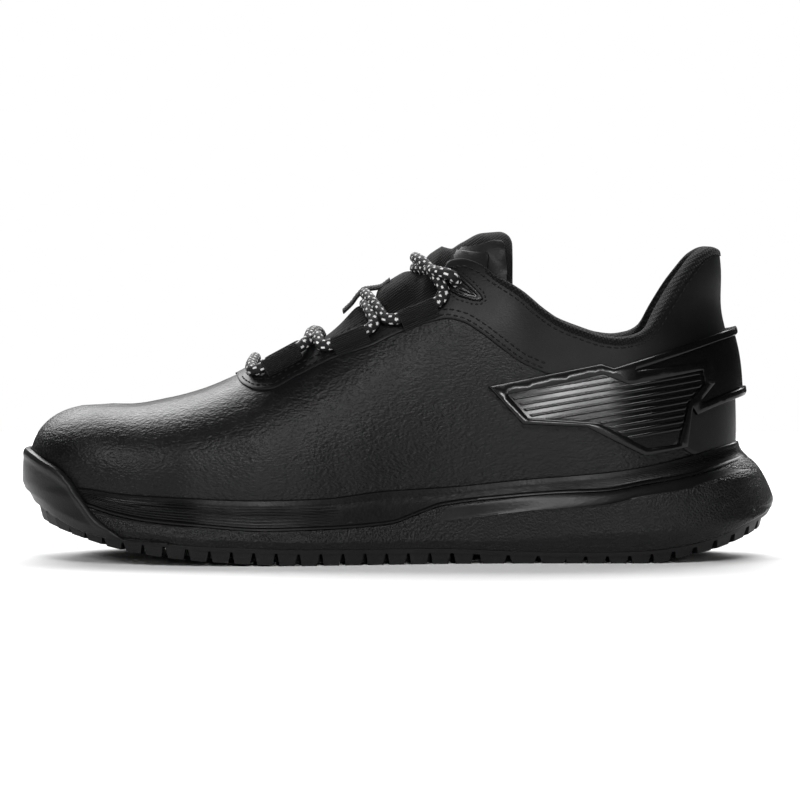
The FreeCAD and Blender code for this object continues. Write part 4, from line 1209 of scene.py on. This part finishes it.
# ---- lace -------------------------------------------------------------------------------
LACE_ROUTE = [
    (-84, -15, 23.0), (-60, -21, 21.5), (-34, -21, 22.6), (-9, -19, 26.0), (11, -18, 32),
    (22, -17, 47), (26, -15.5, 66), (26, -14, 86),
    # out of the lateral eyelet and over the tongue, under the other strand
    (23.8, -13.2, 105.0), (22.0, -28.3, 113.7), (18.8, -28.9, 115.2), (14.0, -23.0, 116.0),
    (10.5, -15.0, 117.0), (6.2, -5, 117.0), (6.2, 5, 117.0), (10.5, 13.5, 116.6), (16.3, 22.8, 111.6),
    # medial loop c, over the tongue, lateral loop b
    (18.8, 26.8, 104.4), (-4.8, 25.9, 94.9), (-10.4, 21.0, 99.0), (-13.2, 12, 103.0),
    (-14.2, 4, 102.6), (-14.2, -5, 102.6), (-13.6, -15.5, 103.2), (-11.9, -25.0, 99.2),
    (-8.8, -32.5, 93.9), (-31.4, -31.9, 84.9),
    # over the tongue, medial loop a, across the front, lateral loop a
    (-32.8, -24.0, 90.0), (-33.6, -16, 90.2), (-34.6, -5, 87.2), (-35.4, 5, 87.2), (-36.2, 12.0, 89.2),
    (-36.8, 20.1, 87.2), (-57.6, 25.6, 75.6), (-60.4, 18.9, 77.6), (-58.8, 8, 80.6),
    (-58.8, -8, 80.6), (-60.4, -22.4, 77.4), (-57.4, -30.2, 75.8), (-36.9, -24.9, 87.3),
    # over the tongue, above the other strand, medial loop b
    (-36.2, -16.0, 90.6), (-35.4, -5.5, 91.6), (-34.2, 5.5, 91.6), (-32.6, 16.8, 90.4),
    (-31.3, 25.5, 84.5), (-8.6, 26.3, 93.6),
    # over the tongue, lateral loop c
    (-11.2, 20.8, 99.6), (-13.4, 11.5, 105.2), (-14.2, 4, 107.0), (-14.2, -5, 107.0),
    (-12.4, -15.5, 105.4), (-8.6, -25.0, 100.6), (-4.6, -32, 95.2), (18.9, -30.5, 104.6),
    # over the tongue and into the medial eyelet
    (16.0, -25.0, 112.2), (10, -14, 119.2), (6.5, -5, 121.3), (6.0, 5, 121.3), (9.0, 13, 119.4),
    (13.8, 20.8, 115.8), (18.5, 26.0, 115.0), (21.7, 25.4, 113.4), (24.4, 9.8, 105.6),
    (26, 12, 86), (26, 14, 66), (22, 15, 47), (11, 16, 32), (-9, 17, 26.0), (-34, 18, 22.6),
    (-60, 18, 21.5), (-84, 14, 23.0)]


def spline_points(route):
    """Points along the NURBS spline that has the route's points as its control points."""
    curve = bpy.data.curves.new("lace_route", "CURVE")
    curve.dimensions = "3D"
    curve.resolution_u = 24
    spline = curve.splines.new("NURBS")
    spline.points.add(len(route) - 1)
    for point, (x, y, z) in zip(spline.points, route):
        point.co = (x * MM, (y + CENTRE_Y) * MM, z * MM, 1.0)
    spline.order_u = 3
    spline.use_endpoint_u = True
    holder = bpy.data.objects.new("lace_route", curve)
    mesh = bpy.data.meshes.new_from_object(holder)
    points = [v.co.copy() for v in mesh.vertices]
    bpy.data.objects.remove(holder)
    return points


def resampled(points, spacing):
    """Evenly spaced points along a line of points."""
    found = [points[0]]
    left = spacing
    for a, b in zip(points, points[1:]):
        span = (b - a).length
        while span > 0 and left <= span:
            a = a.lerp(b, left / span)
            span -= left
            left = spacing
            found.append(a.copy())
        left -= span
    return found


AROUND = 32               # points round the lace
BRAID_STEP = 0.32         # and from one ring of them to the next, mm
BRAID_PITCH = 1.1         # length of the lace that one yarn crossing takes
YARNS = 8.0
YARN_RISE = 0.3


def lace():
    """Round braided lace: raised diagonal yarns, a few of them white."""
    path = resampled(spline_points(LACE_ROUTE), BRAID_STEP * MM)
    length = sum((b - a).length for a, b in zip(path, path[1:]))
    bm = bmesh.new()
    up = Vector((0.0, 0.0, 1.0))
    rings = []
    for k, p in enumerate(path):
        tangent = (path[min(len(path) - 1, k + 1)] - path[max(0, k - 1)]).normalized()
        up = (up - tangent * up.dot(tangent)).normalized()
        across = tangent.cross(up)
        along = k * BRAID_STEP / BRAID_PITCH / 2.0
        ring = []
        for j in range(AROUND):
            turn = j / AROUND * YARNS
            a, b = turn + along, turn - along
            yarn = abs(math.sin(math.pi * a) * math.sin(math.pi * b))
            radius = (LACE / 2 + 0.02 + YARN_RISE * math.sqrt(yarn)) * MM
            angle = 2 * math.pi * j / AROUND
            ring.append(bm.verts.new(p + (across * math.cos(angle) + up * math.sin(angle)) * radius))
        rings.append(ring)
    for k in range(len(rings) - 1):
        along = (k + 0.5) * BRAID_STEP / BRAID_PITCH / 2.0
        for j in range(AROUND):
            n = (j + 1) % AROUND
            face = bm.faces.new([rings[k][j], rings[k][n], rings[k + 1][n], rings[k + 1][j]])
            turn = (j + 0.5) / AROUND * YARNS
            a, b = turn + along, turn - along
            centred = abs(a % 1.0 - 0.5) < 0.4 and abs(b % 1.0 - 0.5) < 0.4
            white = math.floor(a) % 2 == 0 and math.floor(b) % 2 == 0
            face.material_index = 1 if white and centred else 0
    bm.faces.new(rings[0][::-1])
    bm.faces.new(rings[-1])
    mesh = bpy.data.meshes.new("lace_braided")
    bm.to_mesh(mesh)
    bm.free()
    mesh.materials.append(BRAID)
    mesh.materials.append(FLECK)
    mesh.shade_smooth()
    obj = bpy.data.objects.new("lace_braided", mesh)
    bpy.context.scene.collection.objects.link(obj)
    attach(obj, "shoe")
    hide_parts("lace")
    tuple(path[0])
    [tuple(p) for p in path]


# ---- carried-over nodes -----------------------------------------------------------------
NODE_MATERIALS = {
    "vamp": GRAINED, "toe_puff": BOARD_FIBRE, "heel_counter": BOARD_FIBRE, "collar_foam": INNER_FOAM,
    "eyestay_tape_lateral": LINING_CLOTH, "eyestay_tape_medial": LINING_CLOTH,
    "vamp_backing": LINING_CLOTH, "vamp_lining": LINING_CLOTH, "insole_board": BOARD_FIBRE,
    "outsole": RUBBER,
    "shank_plate": SHANK_FIBRE, "midsole": PEBBLED, "midsole_carrier": CARRIER, "heel_clip": GLOSS,
    "tongue_keeper": WEBBING, "eyelet_plate_lateral": PLASTIC, "eyelet_plate_medial": PLASTIC,
    "lace_aglets": AGLET_PLASTIC,
}


def dress_nodes():
    """Materials for the CAD nodes that no piece replaces, and for those behind the skins."""
    for name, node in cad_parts.items():
        material = NODE_MATERIALS.get(name, WEBBING if name.startswith("lace_loop") else None)
        if material is None:
            continue
        if not node.material_slots:
            node.data.materials.append(material)
        for place in node.material_slots:
            place.material = material


# ---- floor, light and camera ------------------------------------------------------------
def area_light(name, where, target, size, power):
    light = bpy.data.lights.new(name, "AREA")
    light.shape = "RECTANGLE"
    light.size, light.size_y = size
    light.energy = power
    obj = bpy.data.objects.new(name, light)
    obj.location = where
    obj.rotation_euler = (Vector(target) - Vector(where)).to_track_quat("-Z", "Y").to_euler()
    bpy.context.scene.collection.objects.link(obj)


def studio():
    """White floor and backdrop, four softboxes, and a long lens at the side."""
    scene = bpy.context.scene
    scene.view_settings.view_transform = "Standard"
    mesh = bpy.data.meshes.new("floor")
    bm = bmesh.new()
    bmesh.ops.create_grid(bm, x_segments=2, y_segments=2, size=1.1)
    bm.to_mesh(mesh)
    bm.free()
    floor = bpy.data.objects.new("floor", mesh)
    scene.collection.objects.link(floor)
    material, nodes, links, shader = node_material("floor_white", (0.9, 0.9, 0.9), 0.7, 0.2)
    patchy = noise(nodes, links, object_coords(nodes, links), 2.0)
    tint(nodes, links, shader, patchy, (0.9, 0.9, 0.9), (0.92, 0.92, 0.92))
    mesh.materials.append(material)

    world = bpy.data.worlds.new("studio")
    world.use_nodes = True
    background = world.node_tree.nodes["Background"]
    background.inputs["Color"].default_value = (1.0, 1.0, 1.0, 1.0)
    background.inputs["Strength"].default_value = 0.05
    backdrop = world.node_tree.nodes.new("ShaderNodeBackground")
    backdrop.inputs["Color"].default_value = (1.0, 1.0, 1.0, 1.0)
    backdrop.inputs["Strength"].default_value = 1.0
    seen = world.node_tree.nodes.new("ShaderNodeLightPath")
    mix = world.node_tree.nodes.new("ShaderNodeMixShader")
    link = world.node_tree.links.new
    link(seen.outputs["Is Camera Ray"], mix.inputs["Fac"])
    link(background.outputs["Background"], mix.inputs[1])
    link(backdrop.outputs["Background"], mix.inputs[2])
    link(mix.outputs["Shader"], world.node_tree.nodes["World Output"].inputs["Surface"])
    scene.world = world
    target = (0.0, 0.0, 0.06)
    area_light("back_softbox", (0.0, 1.2, 1.2), (0.0, 0.0, 0.0), (2.6, 1.2), 66.0)
    area_light("left_softbox", (-1.15, -1.0, 0.95), target, (0.45, 0.5), 10.0)
    area_light("front_softbox", (0.15, -1.25, 1.15), target, (0.7, 0.25), 13.0)
    area_light("low_strip", (0.08, -1.5, 0.22), (0.04, 0.0, 0.02), (0.2, 0.1), 3.4)

    camera = bpy.data.cameras.new("camera")
    camera.lens = 200.0
    camera.sensor_width = 36.0
    holder = bpy.data.objects.new("camera", camera)
    elevation = math.radians(2.2)
    distance = 1.805
    look = Vector((0.0, CENTRE_Y * MM, 0.0635))
    holder.location = look + Vector((0.0, -math.cos(elevation), math.sin(elevation))) * distance
    holder.rotation_euler = (look - holder.location).to_track_quat("-Z", "Y").to_euler()
    scene.collection.objects.link(holder)
    scene.camera = holder


studio()
lace()
vamp()
quarters()
binding()
collar_lining()
footbed()
tongue()
tongue_patch()
tongue_keeper()
heel_clip()
eyelets()
lace_loops()
midsole()
carrier()
toe_bumper()
stitching()
dress_nodes()
